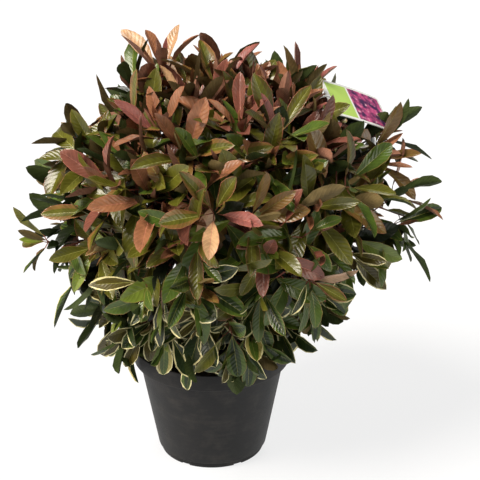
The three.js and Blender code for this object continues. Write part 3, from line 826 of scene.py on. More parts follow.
def plan_limbs(masses):
    """Rows of points and radii of the trunk, the leader and the boughs, and the limb of each mass."""
    limbs = {}

    def add(name, ends, radii, steps):
        start, start_way, end, end_way = ends
        row = curve_points(start, start_way, end, end_way, steps)
        smooth = curve_points(start, start_way, end, end_way, LIMB_STATIONS - 1)
        limbs[name] = {"row": row, "smooth": smooth, "radii": radii}
        return limbs[name]

    def in_tier(name):
        return [mass for mass in masses if mass["tier"]["name"] == name]

    def tip(mass):
        return in_crown(mass["way"], BOUGH_SHARE)

    def outward(mass, lift):
        return unit(mass["way"] + UP * lift)

    def add_bough(mass, plan, start, away):
        ends = (start, away, tip(mass), outward(mass, plan["lift"]))
        name = f"bough_{mass['tier']['name']}_{mass['number']}"
        mass["limb"] = add(name, ends, plan["radii"], plan["steps"])

    foot = np.array([0, 0, GROUND - TRUNK["sunk"]])
    fork = np.array([*TRUNK["lean"], GROUND + TRUNK["height"]])
    trunk = add("trunk", (foot, UP, fork, UP), TRUNK["radii"], 5)
    top_most = in_tier("crown")[0]
    leader = add("leader", (fork + UP * CLEAR, UP, tip(top_most), UP), LEADER["radii"], LEADER["steps"])
    top_most["limb"] = leader

    for name, plan in (("shoulder", SHOULDER), ("skirt", SKIRT)):
        for i, mass in enumerate(in_tier(name)):
            start = along_row(trunk["row"], plan["from"][i % 2])[0]
            away = direction(plan["polar"], mass["tier"]["turn"] + 360 * i / mass["tier"]["count"])
            add_bough(mass, plan, start, away)
    for i, mass in enumerate(in_tier("top")):
        start = along_row(leader["row"], TOP["from"] + TOP["every"] * i)[0]
        add_bough(mass, TOP, start, outward(mass, TOP["leave_lift"]))
    shoulders = in_tier("shoulder")
    for i, mass in enumerate(in_tier("waist")):
        start, follow = along_row(shoulders[i]["limb"]["row"], WAIST["from"])
        away = unit(unit(tip(mass) - start) + follow * WAIST["follow"])
        add_bough(mass, WAIST, start, away)
    return limbs


class Growth:
    """The twigs and leaves of the whole crown, gathered mass by mass."""

    def __init__(self):
        self.twigs = []
        self.leaves = []
        self.sprays = 0

    def twig(self, points, radii, green):
        self.twigs.append((points, radii, green))

    def leaf(self, tier, hold, out, way, axis, length, age, finer=1):
        """A leaf that stands out from its twig, unless its tip would leave the crown's reach."""
        way = unit(way + out * max(LEAF_OUTWARD - way @ out, 0)) if age < 1 else way
        root = hold + out * (WHORL_RADIUS if age < 1 else 1)
        self.leaves.append((root, way, axis, hold, length, age, self.sprays, tier, finer))


def grow_whorls(growth, tier, row, smooth, draw):
    """The whorls of the solids: five leaves at even turns, which stand open from the shoot."""
    for whorl in WHORLS:
        axis = along_row(row, whorl["along"])[1]
        hold = along_row(smooth, whorl["along"])[0]
        first, second = across_axis(axis)
        start_turn = draw() * 360
        growth.sprays += 1
        for k in range(WHORL_LEAVES):
            out = around(first, second, math.radians(start_turn + k * 360 / WHORL_LEAVES))
            way = around(axis, out, math.radians(mix(*whorl["open"], draw())))
            way = unit(way + UP * ((draw() - 0.5) * LEAF_WAVER - TIERS[tier]["hang"]))
            length = TIERS[tier]["leaf"] * mix(*LEAF_LENGTHS, draw())
            growth.leaf(tier, hold, out, way, axis, length, whorl["age"], finer=0)


def grow_spiral(growth, tier, smooth, count, plan, hang, ages, draw):
    """Leaves in a spiral, from a twig's tip downwards, that open wider one after another."""
    start_turn = draw() * 360
    growth.sprays += 1
    for k in range(count):
        place, axis = along_row(smooth, 1 - plan["spacing"] * k)
        first, second = across_axis(axis)
        out = around(first, second, math.radians(start_turn + SPIRAL * k))
        share = k / max(count - 1, 1)
        way = around(axis, out, math.radians(mix(*plan["open"], share) * mix(*JITTER, draw())))
        way = unit(way + UP * ((draw() - 0.5) * 2 * LEAF_WAVER - hang))
        length = TIERS[tier]["leaf"] * mix(*plan["length"], mix(share, draw(), 0.5))
        growth.leaf(tier, place, out, way, axis, length, mix(*ages, share))


def grow_side_twigs(growth, tier, smooth, count, leaves, draw):
    """Finer twigs that leave a shoot at turns of a spiral, within the crown's reach."""
    start_turn = draw() * 360
    droop, hang = TIERS[tier]["droop"], TIERS[tier]["hang"]
    for j in range(count):
        along = mix(*SIDE_TWIG["from"], (j + draw()) / count)
        place, axis = along_row(smooth, along)
        first, second = across_axis(axis)
        out = around(first, second, math.radians(start_turn + SPIRAL * j))
        way = around(axis, out, math.radians(mix(*SIDE_TWIG["open"], draw())))
        way = unit(way + UP * (SIDE_TWIG_RISE - droop * SIDE_TWIG_DROOP))
        end = place + way * mix(*SIDE_TWIG["length"], draw())
        off = np.linalg.norm(end - CROWN_CENTRE)
        limit = crown_reach(unit(end - CROWN_CENTRE)) * TWIG_REACH
        if off > limit:
            end = CROWN_CENTRE + (end - CROWN_CENTRE) * limit / off
        arrive = unit(way + UP * (SIDE_TWIG_RISE - droop))
        twig = curve_points(place, way, end, arrive, TWIG_STATIONS - 1)
        growth.twig(twig, SIDE_TWIG["radii"], 1)
        grow_spiral(growth, tier, twig, leaves, SIDE_LEAF, hang, (0.7, 0.1), draw)


def grow_mass(growth, mass, settings):
    """A stem on from the bough, shoots that spread from it as in the solids, and the finer growth."""
    draw = seeded(1000 + mass["index"] * 17)
    finer = seeded(5000 + mass["index"] * 17)
    tier = TIERS.index(mass["tier"])
    tip, tip_way = along_row(mass["limb"]["row"], 1)
    start = tip + tip_way * CLEAR
    stem = np.array([start, start + tip_way * HUB_LEAD, in_crown(mass["way"], HUB_SHARE)])
    hub_way = unit(stem[2] - stem[1])
    inside = start - tip_way * 4 * CLEAR
    growth.twig(curve_points(inside, tip_way, stem[2], hub_way, TWIG_STATIONS - 1), HUB_RADII, 0)
    first, second = across_axis(mass["way"])
    start_turn = draw() * 360
    for i in range(SHOOTS):
        spread = SHOOT_SPREADS[min(i, 1)] * mix(*JITTER, draw())
        jitter = (draw() - 0.5) * SHOOT_TURN_JITTER
        turn = math.radians(start_turn + 360 * i / (SHOOTS - 1) + jitter)
        lean = math.tan(math.radians(spread))
        way = unit(mass["way"] + first * lean * math.cos(turn) + second * lean * math.sin(turn))
        reach = SHOOT_SHARES[min(i, 1)] * mass["tier"]["reach"]
        end = in_crown(way, reach * mix(*SHOOT_REACHES, draw()))
        leave_from = along_row(stem, SHOOT_STARTS[i % 2])[0]
        leave = unit(end - leave_from)
        arrive = unit(leave + UP * (SHOOT_RISE - mass["tier"]["droop"]))
        row = curve_points(leave_from, leave, end, arrive, 2)
        smooth = curve_points(leave_from, leave, end, arrive, TWIG_STATIONS - 1)
        growth.twig(smooth, TWIG_RADII, 0)
        grow_whorls(growth, tier, row, smooth, draw)
        hang = mass["tier"]["hang"] * 0.5
        grow_spiral(growth, tier, smooth, settings.young, YOUNG_LEAF, hang, (1, 1), finer)
        grow_side_twigs(growth, tier, smooth, settings.side_twigs, settings.side_leaves, finer)


def grow_crown(settings):
    """All twigs, and all leaves as one array for each property."""
    masses = plan_masses()
    limbs = plan_limbs(masses)
    growth = Growth()
    for mass in masses:
        grow_mass(growth, mass, settings)
    names = ("root", "way", "axis", "hold", "length", "age", "spray", "tier", "finer")
    leaves = {name: np.array(values) for name, values in zip(names, zip(*growth.leaves))}
    return limbs, growth.twigs, leaves


def fit_reach(leaves):
    """Leaves are shortened until their tips lie within a share of the crown's reach that differs
    from leaf to leaf, and those that would be too short are dropped."""
    share = np.random.default_rng(SEEDS["reach"]).random(len(leaves["length"]))
    finer = leaves["finer"] > 0
    limit = np.where(finer, mix(*LEAF_REACH["finer"], share), mix(*LEAF_REACH["whorls"], share))
    limit = np.where(leaves["tier"] == LOWEST, limit + LOW_LEAF_LONGER, limit)
    limit = limit - WAIST_LEAF_SHORTER * (leaves["tier"] == LOWEST - 1)
    full = leaves["length"].copy()
    for _ in range(REACH_STEPS):
        tips = leaves["root"] + leaves["way"] * leaves["length"][:, None] - CROWN_CENTRE
        over = np.linalg.norm(tips, axis=1) / crown_reach(unit(tips)) > limit
        leaves["length"] = np.where(over, leaves["length"] * REACH_STEP, leaves["length"])
    keep = leaves["length"] > full * SHORTEST_LEAF
    return {name: values[keep] for name, values in leaves.items()}


def leaf_frames(leaves, settings):
    """Where each blade starts and how long it is, and its directions along, above and to the side."""
    way = leaves["way"]
    up = unit(unit(across(leaves["axis"], way)) + LEAF_SKYWARD * across(UP + 0 * way, way))
    blade = leaves["length"] * (1 - settings.stalk)
    base = leaves["root"] + way * (leaves["length"] * settings.stalk)[:, None]
    return base, blade, (way, up, np.cross(way, up))


def leaf_half_widths(leaves, blade, settings, rng):
    """The half width of each blade at its rows. At the share t of the way up it is (t/w)^a
    ((1-t)/(1-w))^b of the widest, which lies at w = a / (a + b)."""
    low = leaves["tier"] == LOWEST
    t, a = LEAF_ROWS, LEAF_BASE_POWER
    b = np.where(low, LEAF_TIP_POWER * LOW_LEAF_BLUNTER, LEAF_TIP_POWER)
    b = b * rng.uniform(*TIP_SPREAD, len(blade))
    w = (a / (a + b))[:, None]
    share = np.where(low, settings.skirt_width, settings.width)
    share = share * rng.uniform(*WIDTH_SPREAD, len(blade))
    half = blade * share / 2 * (1 - YOUNG_LEAF_NARROWER * (leaves["age"] > YOUNG_FROM))
    return half[:, None] * ((t / w) ** a * ((1 - t) / (1 - w)) ** b[:, None])


def on_arc(base, blade, way, up, bend, t):
    """Places on arcs of circle. With b the bend and t the share along the arc, a place lies the
    blade's length times sin(bt)/b along the way, and times (cos(bt)-1)/b above."""
    along = blade[:, None] * np.sin(bend * t) / bend
    above = blade[:, None] * (np.cos(bend * t) - 1) / bend
    return base[:, None] + way[:, None] * along[..., None] + up[:, None] * above[..., None]


def leaf_spines(leaves, frames, arch, rng):
    """The middle line of each blade, which is an arc, the directions to its side and out of its face
    at each row, turned by a twist that grows evenly along it, and its tip."""
    base, blade, (way, up, side) = frames
    t = LEAF_ROWS
    bend = arch * (1 - AGE_STRAIGHTENS * leaves["age"]) + rng.normal(0, BEND_SPREAD, len(blade))
    bend = np.where(np.abs(bend) < LEAST_BEND, LEAST_BEND, bend)[:, None]
    twist = rng.normal(0, TWIST_SPREAD, len(blade))[:, None] * (t - TWIST_FROM)
    facing = up[:, None] * np.cos(bend * t)[..., None] + way[:, None] * np.sin(bend * t)[..., None]
    aside = side[:, None] * np.cos(twist)[..., None] + facing * np.sin(twist)[..., None]
    facing = facing * np.cos(twist)[..., None] - side[:, None] * np.sin(twist)[..., None]
    middle = on_arc(base, blade, way, up, bend, t)
    tip = on_arc(base, blade, way, up, bend, np.ones(1))[:, 0]
    return middle, aside, facing, tip


def leaf_columns(leaves, width, settings, rng):
    """How far across its row each point lies, as a share of the half width: the outer and the inner
    side of the rim, the middle of the half blade, and the side of the midrib, on the left and on the
    right. The pale edges are wider and narrower from place to place."""
    rough = rng.uniform(*PALE_EDGE_SPREAD, (*width.shape, 2))
    edged = leaves["edged"][:, None, None]
    rim = np.where(edged, mm(settings.pale_edge), mm(settings.rim))
    rim = np.clip(rim * np.where(edged, rough, 1) / width[..., None], *RIM_LIMITS)
    rib = (MIDRIB["tip"] + MIDRIB["base"] * (1 - LEAF_ROWS)) / width * MIDRIB["share"]
    rib = np.clip(rib, *MIDRIB_LIMITS)
    ones = np.ones_like(width)
    middle = LEAF_MIDDLE * ones
    left = [-ones, rim[..., 0] - 1, -middle, -rib]
    return np.stack([*left, rib, middle, 1 - rim[..., 1], ones], axis=-1)


def leaf_lifts(leaves, c, width, fold, rng):
    """The fold of each leaf, and how far its points stand above its middle line. At a share c of the
    half width h that is |c| h (sin(fold) (1 - 0.3 |c|) + a slow wave along the rim), and a ripple at
    the side veins."""
    t = LEAF_ROWS[:, None]
    fold = fold * (1 + AGE_FOLDS * leaves["age"]) * rng.uniform(*FOLD_SPREAD, len(c))
    fold = fold[:, None, None]
    phase = rng.uniform(0, 2 * np.pi, (len(c), 1, 1))
    wave = np.sin(2 * np.pi * RIM_WAVE["count"] * t + phase + RIM_WAVE["shift"] * (c > 0))
    wave = RIM_WAVE["height"] * wave * np.sin(np.pi * t)
    lift = np.abs(c) * width[..., None] * (np.sin(fold) * (1 - FOLD_FLATTENS * np.abs(c)) + wave)
    ripple = VEIN_RIPPLE * np.where(np.arange(len(t)) % 2, 1, -1)[:, None]
    return fold, lift + np.where(np.abs(np.abs(c) - LEAF_MIDDLE) < 1e-6, ripple, 0)


def leaf_points(leaves, settings):
    """The points of all leaves as one array. A point at a share c of the half width h lies
    c h cos(fold) to the side of the middle line, and stands above it as leaf_lifts says. The
    underside is the same surface, a thickness lower, with a keel that runs out to the tip. The stalk
    is a three-sided tube."""
    rng = np.random.default_rng(SEEDS["blades"])
    count = len(leaves["length"])
    frames = leaf_frames(leaves, settings)
    base, blade, (_, up, side) = frames
    width = leaf_half_widths(leaves, blade, settings, rng)
    middle, aside, facing, tip = leaf_spines(leaves, frames, settings.arch, rng)
    c = leaf_columns(leaves, width, settings, rng)
    fold, lift = leaf_lifts(leaves, c, width, settings.fold, rng)
    top = middle[:, :, None] + aside[:, :, None] * (c * width[..., None] * np.cos(fold))[..., None]
    top = top + facing[:, :, None] * lift[..., None]
    thickness = mm(settings.thickness)
    under = top[:, :, [2, 5]] - facing[:, :, None] * thickness
    deep = (thickness + KEEL * (1 - LEAF_ROWS))[:, None, None]
    keel = middle[:, :, None] - facing[:, :, None] * deep
    under = np.concatenate([under[:, :, :1], keel, under[:, :, 1:]], axis=2)
    poles = np.stack([base, tip], axis=1)
    stalk = leaf_stalks(leaves["hold"], base, middle[:, 0], side, up)
    parts = [top.reshape(count, -1, 3), under.reshape(count, -1, 3), poles, stalk]
    return np.concatenate(parts, axis=1)


def leaf_stalks(hold, base, inside, side, up):
    """Two rings of three points, one in the twig and one at the blade, and a pole at each end."""
    angles = 2 * np.pi * np.arange(STALK_SIDES) / STALK_SIDES + np.pi / 2
    turn = side[:, None] * np.cos(angles)[:, None] + up[:, None] * np.sin(angles)[:, None]
    low = hold[:, None] + turn * STALK_RADII[0]
    high = base[:, None] + turn * STALK_RADII[1]
    poles = np.stack([hold, inside - up * KEEL], axis=1)
    return np.concatenate([low, high, poles], axis=1)


def leaf_places():
    """For each point of a leaf, its share along the blade and its share from the midrib to the rim."""
    top = np.stack(np.broadcast_arrays(LEAF_ROWS[:, None], LEAF_COLUMNS[None]), axis=-1)
    under = np.stack(np.broadcast_arrays(LEAF_ROWS[:, None], UNDER_COLUMNS[None]), axis=-1)
    poles_and_stalk = np.zeros((2 + STALK_POINTS, 2))
    poles_and_stalk[1, 0] = 1
    return np.concatenate([top.reshape(-1, 2), under.reshape(-1, 2), poles_and_stalk])


def leaf_faces():
    """The quads of one leaf and what each shows, and the same for its triangles: 0 blade near the
    midrib, 1 blade further out, 2 rim, 3 vein, 4 underside, 5 stalk."""
    rows, columns, below = len(LEAF_ROWS), len(LEAF_COLUMNS), len(UNDER_COLUMNS)
    top = np.arange(rows * columns).reshape(rows, columns)
    under = rows * columns + np.arange(rows * below).reshape(rows, below)
    under = np.concatenate([top[:, :1], under, top[:, -1:]], axis=1)
    base = rows * (columns + below)
    tip = base + 1
    shown = np.array([2, 1, 0, 3, 0, 1, 2])
    backs = grid_quads(under)[:, [0, 3, 2, 1]]
    low, high = np.full(columns - 1, base), np.full(columns - 1, tip)
    fans = [
        np.stack([low, top[0, 1:], top[0, :-1]], axis=-1),
        np.stack([top[-1, :-1], top[-1, 1:], high], axis=-1),
        np.stack([low[: below + 1], under[0, :-1], under[0, 1:]], axis=-1),
        np.stack([under[-1, :-1], high[: below + 1], under[-1, 1:]], axis=-1),
    ]
    stalk_quads, stalk_fans = (group + tip + 1 for group in ring_faces(2, STALK_SIDES))
    quads = np.concatenate([grid_quads(top), backs, stalk_quads])
    quad_parts = [np.tile(shown, rows - 1), np.full(len(backs), 4), np.full(len(stalk_quads), 5)]
    fan_parts = [shown, shown, np.full(2 * (below + 1), 4), np.full(len(stalk_fans), 5)]
    fans = np.concatenate([*fans, stalk_fans])
    return (quads, np.concatenate(quad_parts)), (fans, np.concatenate(fan_parts))


def deal_kinds(leaves):
    """The kind of each leaf, by the height of its spray. Half of a spray's leaves take its kind."""
    rng = np.random.default_rng(SEEDS["kinds"])
    kinds = list(KINDS)
    sprays = leaves["spray"].max() + 1
    held = np.bincount(leaves["spray"], minlength=sprays)
    height = np.bincount(leaves["spray"], leaves["hold"][:, 2], sprays) / np.maximum(held, 1)
    level = np.digitize(height + rng.normal(0, HEIGHT_SPREAD, sprays), HEIGHTS)[leaves["spray"]]
    dealt = np.zeros(len(leaves["length"]), int)
    young = leaves["age"] > YOUNG_FROM
    for number in range(len(MIXES)):
        for chosen, mixes in ((~young, MIXES), (young, YOUNG_MIXES)):
            chosen = chosen & (level == number)
            names, shares = zip(*mixes[number].items())
            shares = np.array(shares) / sum(shares)
            numbers = np.array([kinds.index(name) for name in names])
            own = rng.choice(numbers, chosen.sum(), p=shares)
            by_spray = rng.choice(numbers, sprays, p=shares)[leaves["spray"][chosen]]
            dealt[chosen] = np.where(rng.random(chosen.sum()) < SPRAY_HOLD, by_spray, own)
    # Painted shade: leaves held deep in the crown are made dark, partly the deeper green of old leaves
    # there
    from_centre = leaves["hold"] - CROWN_CENTRE
    painted_shade = np.linalg.norm(from_centre, axis=1) / crown_reach(unit(from_centre)) < PAINTED_SHADE_FROM
    dealt[painted_shade] = kinds.index("painted_shade")
    # A few higher leaves are tan: partly a real pale brown, partly a painted highlight for a pale sheen
    dealt[~painted_shade & (level > 1) & (rng.random(len(dealt)) < TAN_AND_PAINTED_SHEEN_SHARE)] = kinds.index("tan")
    return dealt


def clear_of_all(points, limbs, settings):
    """True for each leaf whose points keep off the pot, the label and the limbs."""
    pot, label = settings
    height, radius = mm(pot.height) + LEAF_GAP, mm(pot.rim_radius) + LEAF_GAP
    blade = points[:, :-STALK_POINTS]
    in_pot = (blade[..., 2] < height) & (np.hypot(blade[..., 0], blade[..., 1]) < radius)
    right, upward, facing = label_axes()
    from_card = blade - LABEL_CENTRE
    off = np.stack([from_card @ right, from_card @ upward, from_card @ facing], axis=-1)
    reach = np.array([mm(label.width) / 2, mm(label.height) / 2, 0]) + LABEL_GAPS
    above = np.where(off[..., 0] < LABEL_HIDDEN_FROM, LABEL_SHOWS, reach[2])
    in_card = np.all(np.abs(off[..., :2]) < reach[:2], axis=-1)
    in_card &= (off[..., 2] > -reach[2]) & (off[..., 2] < above)
    clear = ~(in_pot | in_card).any(axis=1)
    spine = blade[:, SPINE_POINTS]
    for limb in limbs.values():
        row = limb["smooth"][::2]
        gaps = np.linalg.norm(spine[:, :, None] - row[None, None], axis=-1).min(axis=(1, 2))
        clear &= gaps > limb["radii"][0] + LEAF_GAP
    return clear


def fit_leaves(leaves, limbs):
    """The points of the leaves, and which are clear of all else. One that isn't is tried again,
    smaller and closer to its shoot, and higher where the pot is in its way."""
    scene = bpy.context.scene
    obstacles = (scene.photinia_pot, scene.photinia_label)
    points = leaf_points(leaves, scene.photinia_leaf)
    clear = clear_of_all(points, limbs, obstacles)
    for close in LEAF_TRIES:
        low = UP * close * (leaves["root"][:, 2:] < LIFTED_BELOW)
        nearer = unit(mix(leaves["way"], leaves["axis"], close) + low)
        leaves["way"] = np.where(clear[:, None], leaves["way"], nearer)
        leaves["length"] = leaves["length"] * np.where(clear, 1, TRY_SHORTER)
        points = leaf_points(leaves, scene.photinia_leaf)
        clear = clear_of_all(points, limbs, obstacles)
    return points, clear


def label_axes():
    """The directions of the card's long side, its short side and its face."""
    right = unit(LABEL_RIGHT)
    upward = unit(across(LABEL_UPWARD, right))
    return right, upward, np.cross(right, upward)


def limb_radii(name, limb):
    """Radii of a limb's rings: from its root's radius to its tip's, more at the trunk's foot by its
    flare times (1-a)^5, and times 1 + relief (sin(5t + 3 sin(z/11)) + sin(9t - z/4) / 2 +
    sin(7t + z/2) / 3 + 0.6 sin(z/6)^8), where the last term makes knots."""
    settings = bpy.context.scene.photinia_wood
    a = np.linspace(0, 1, LIMB_STATIONS)[:, None]
    radius = mix(*limb["radii"], a)
    if name == "trunk":
        radius = radius + TRUNK["flare"] * (1 - a) ** 5
    z = limb["smooth"][:, 2:]
    t = 2 * np.pi * np.arange(LIMB_SIDES)[None] / LIMB_SIDES
    ridges = np.sin(5 * t + 3 * np.sin(z / 11)) + np.sin(9 * t - z / 4) / 2 + np.sin(7 * t + z / 2) / 3
    knots = 0.6 * np.sin(z / 6) ** 8
    return radius * (1 + settings.relief * (ridges + knots))


def bark_material():
    """Grey brown bark: dark cracks that run along the wood in broad patches, and a grain that stands up.
    """
    settings = bpy.context.scene.photinia_wood
    bark = Finish("Bark", settings.bark, 0.88)
    cracks = bark.noise(420, 4, 0.6, bark.stretched(bark.place(), (1, 1, 0.22)))
    broad = bark.noise(70, 3, 0.5)
    share = bark.ramp(cracks * 0.7 + broad * 0.3, (0.36, 0), (0.6, 1))
    bark.feed(**{"Base Color": bark.blend(share, settings.fissure, settings.bark)})
    bark.feed(Normal=bark.bump(cracks, 0.7, 0.0016))
    return bark.material


def young_wood_material(name, colour):
    """Smooth young bark with small pale pores."""
    finish = Finish(name, colour, 0.6)
    pores = finish.noise(900, 2, 0.5)
    share = finish.ramp(pores, (0.5, 0), (0.72, 1))
    pale = [min(1, 1.9 * c + 0.02) for c in colour]
    finish.feed(**{"Base Color": finish.blend(share, colour, pale)})
    return finish.material


def plastic_material():
    """Matte dark plastic with a fine moulded grain, faint rub marks, and patches of dust."""
    settings = bpy.context.scene.photinia_pot
    plastic = Finish("Pot_plastic", settings.plastic, 0.62, **{"Specular IOR Level": 0.25})
    spots = plastic.noise(38, 5, 0.62)
    marks = plastic.noise(26, 4, 0.7, plastic.stretched(plastic.place(), (1, 1, 7)))
    dust = plastic.ramp(spots * 0.6 + marks * 0.4, (0.48, 0), (0.8, 0.5))
    grain = plastic.noise(1500, 2, 0.6)
    plastic.feed(**{"Base Color": plastic.blend(dust, settings.plastic, settings.dust)})
    plastic.feed(Roughness=marks * 0.16 + 0.5)
    plastic.feed(Normal=plastic.bump(grain, 0.35, 0.0004))
    return plastic.material


def soil_material():
    """Dark peat with paler chips of bark, rough all over."""
    settings = bpy.context.scene.photinia_pot
    soil = Finish("Soil_crumbs", settings.soil, 0.95)
    crumbs = soil.noise(330, 5, 0.65)
    chips = soil.noise(150, 2, 0.5)
    share = soil.ramp(chips * 0.55 + crumbs * 0.45, (0.5, 0), (0.66, 0.75))
    soil.feed(**{"Base Color": soil.blend(share, settings.soil, settings.soil_crumb)})
    soil.feed(Normal=soil.bump(crumbs, 0.9, 0.004))
    return soil.material


def label_material():
    """A printed card: pale edge, a yellow green band between white lines, and a panel of soft petals.
    A petal patch is where a stretched noise is high. UV runs along the card's long and short side."""
    settings = bpy.context.scene.photinia_label
    card = Finish("Label_print", settings.card, 0.32)
    place = card.place("UV")
    along, up = card.axis(place, "X"), card.axis(place, "Y")
    wide = card.stretched(place, (1.6, 1, 1))
    petals = card.ramp(card.noise(5.5, 3, 0.55, wide), (0.4, 0), (0.6, 1))
    panel = card.blend(petals, settings.shade, settings.petal)
    pale = card.ramp(card.noise(11, 2, 0.5, wide), (0.6, 0), (0.75, 0.6))
    panel = card.blend(pale, panel, settings.card)
    inside = (up > PRINT["margin"]) * (up < 1 - PRINT["margin"])
    in_band = inside * (along > PRINT["band"][0]) * (along < PRINT["band"][1])
    in_panel = inside * (along > PRINT["panel"][0]) * (along < PRINT["panel"][1])
    print_colour = card.blend(in_band, settings.card, settings.band)
    card.feed(**{"Base Color": card.blend(in_panel, print_colour, panel)})
    return card.material


def leaf_material(name, colour, roughness, gloss):
    """A leathery blade in one colour, a little darker and lighter in soft patches. Its side veins leave
    the midrib at a slant: their height is cos(2 pi n (u - s v)), where n veins lie along the blade, u is
    the share along it, v the share from midrib to rim, and s the slant."""
    leaf = Finish(f"Leaf_{name}", colour, roughness, **{"Specular IOR Level": gloss})
    place = leaf.place("UV")
    along, aside = leaf.axis(place, "X"), leaf.axis(place, "Y")
    veins = ((along - aside * VEINS["slant"]) * (2 * math.pi * VEINS["count"])).cosine() * 0.5 + 0.5
    patches = leaf.ramp(leaf.noise(70, 3, 0.6), (0.35, 0), (0.65, 1))
    dark, light = ([c * tone for c in colour] for tone in PATCH_TONES)
    blade = leaf.blend(patches, dark, light)
    pale = [min(1, 1.5 * c + 0.01) for c in colour]
    leaf.feed(**{"Base Color": leaf.blend(leaf.ramp(veins, (0.8, 0), (1, 0.3)), blade, pale)})
    leaf.feed(Normal=leaf.bump(veins, 0.45, 0.0004))
    return leaf.material


def leaf_materials():
    """A material for each colour of blade, rim, midrib and underside, and the number of the material
    for each kind of leaf and each part of it."""
    colours = bpy.context.scene.photinia_colour
    names = sorted({name for kind in KINDS.values() for name in kind})
    materials = []
    for name in names:
        finish = LEAF_FINISHES["back" if name.endswith("back") else "top"]
        materials.append(leaf_material(name, getattr(colours, name), **finish))
    stalk = bpy.context.scene.photinia_wood.shoot
    materials.append(leaf_material("stalk", stalk, **LEAF_FINISHES["back"]))
    table = [[names.index(name) for name in kind] + [len(names)] for kind in KINDS.values()]
    return materials, np.array(table)


def build_pot():
    """The pot: a turned wall with a wide collar and a rolled lip, and drain holes cut by Boolean."""
    pot = bpy.context.scene.photinia_pot
    height, rim = mm(pot.height), mm(pot.rim_radius)
    foot_height, wall = mm(pot.foot_height), mm(pot.wall)
    body_top, body_foot = mm(pot.body_top_radius), mm(pot.body_foot_radius)
    foot, collar = body_foot - FOOT_STEP, height - mm(pot.collar_height)
    profile = [
        (0, 0, 0),
        (foot, 0, 1),
        (foot, foot_height, 0.6),
        (body_foot, foot_height + 1, 1),
        (body_top, collar, 0.8),
        (rim - COLLAR_DRAFT, collar + 1, 1.4),
        (rim, height, LIP),
        (rim - 2 * LIP, height, LIP * 0.8),
        (rim - COLLAR_DRAFT - wall, collar + wall, 1),
        (body_top - wall, collar, 1),
        (body_foot - wall, FLOOR_THICKNESS, 1.5),
        (0, FLOOR_THICKNESS, 0),
    ]
    piece = make_piece("pot_shell", *lathe(rounded(profile), POT_SIDES), [plastic_material()], sharp=50)
    for name, cutter in (("Holes", hole_cutter()), ("Slots", slot_cutter(rim))):
        cut = piece.modifiers.new(name, "BOOLEAN")
        cut.operation = "DIFFERENCE"
        cut.solver = "EXACT"
        cut.object = cutter
    return dress(piece, ["pot"])


def drain_ways():
    """The directions of the drain holes from the middle of the pot's floor."""
    turns = np.arange(DRAIN["count"]) * 2 * np.pi / DRAIN["count"]
    return np.stack([np.cos(turns), np.sin(turns), 0 * turns], axis=-1)


def hole_cutter():
    """Upright rods for the drain holes."""
    ends = [way * DRAIN["ring"] + np.array([[0, 0, -20], [0, 0, 20]]) for way in drain_ways()]
    return cutter("hole_cutter", [rod(pair, DRAIN["radius"], DRAIN["radius"], 24) for pair in ends])


def slot_cutter(rim):
    """Bars for the slots under the foot, which lead from the holes outwards."""
    high = 1.5 * DRAIN["slot_height"]
    low = UP * (high - DRAIN["slot_height"])
    ends = [way * np.array([[DRAIN["ring"]], [rim]]) - low for way in drain_ways()]
    return cutter("slot_cutter", [rod(pair, DRAIN["slot_width"] / 2, high, 4) for pair in ends])


def cutter(name, rods):
    """Rods as one hidden piece with flat faces, for a Boolean."""
    rows, groups = zip(*rods)
    starts = np.cumsum([0] + [len(row) for row in rows])
    faces = [np.concatenate([part + start for part, start in zip(like, starts)]) for like in zip(*groups)]
    piece = make_piece(name, np.concatenate(rows), faces, [])
    piece.data.polygons.foreach_set("use_smooth", np.zeros(len(piece.data.polygons), bool))
    piece.hide_render = True
    piece.hide_viewport = True
    return piece


def rod(ends, across_size, up_size, sides):
    """A straight rod between two points: an oval for many sides, and an upright box for four."""
    way = unit(ends[1] - ends[0])
    side, other = across_axis(way)
    angles = 2 * np.pi * (np.arange(sides) + 0.5) / sides
    grow = math.sqrt(2) if sides == 4 else 1
    ring = side * (np.cos(angles) * across_size * grow)[:, None]
    ring = ring + other * (np.sin(angles) * up_size * grow)[:, None]
    points = np.concatenate([ends[0] + ring, ends[1] + ring, ends])
    return points, list(ring_faces(2, sides))


def build_soil():
    """The soil: a closed body that fills the pot, whose top is raised by noise at three sizes."""
    pot = bpy.context.scene.photinia_pot
    collar = mm(pot.height) - mm(pot.collar_height)
    seat = mm(pot.wall) + CLEAR
    rim = mm(pot.rim_radius) - COLLAR_DRAFT - seat
    edge = [
        (0, FLOOR_THICKNESS + CLEAR),
        (mm(pot.body_foot_radius) - seat, FLOOR_THICKNESS + CLEAR),
        (mm(pot.body_top_radius) - seat, collar + CLEAR),
        (rim, collar + seat),
        (rim, SOIL_TOP - SOIL_SAG - 4),
    ]
    radii = np.linspace(rim - 0.2, 0, SOIL_RINGS)
    level = SOIL_TOP - SOIL_SAG * np.clip((radii - SOIL_FLAT_RADIUS) / (rim - SOIL_FLAT_RADIUS), 0, 1)
    points, faces = lathe(np.concatenate([edge, np.stack([radii, level], axis=-1)]), SOIL_SIDES)
    x, y, z = points.T
    clods, crumbs, grit = (lattice_noise(x, y, *noise) for noise in SOIL_NOISE.values())
    raised = mm(pot.grain) * (0.6 * (crumbs + 0.6 * grit) + 1.4 * clods)
    raised = raised * np.clip((rim - np.hypot(x, y)) / 4, 0, 1)
    points[:, 2] += np.where(z > SOIL_TOP - SOIL_SAG - 1, raised, 0)
    piece = make_piece("soil_top", points, faces, [soil_material()])
    return dress(piece, ["soil"])


def build_wood():
    """The trunk, and the leader and boughs that grow on from it."""
    limbs = plan_limbs(plan_masses())
    material = bark_material()
    built = []
    for piece_name, names in (("trunk_bark", ["trunk"]), ("bough_bark", sorted(set(limbs) - {"trunk"}))):
        paths = np.stack([limbs[name]["smooth"] for name in names])
        radii = np.stack([limb_radii(name, limbs[name]) for name in names])
        piece = make_piece(piece_name, *tubes(paths, radii), [material])
        built.append(dress(piece, names))
    return built


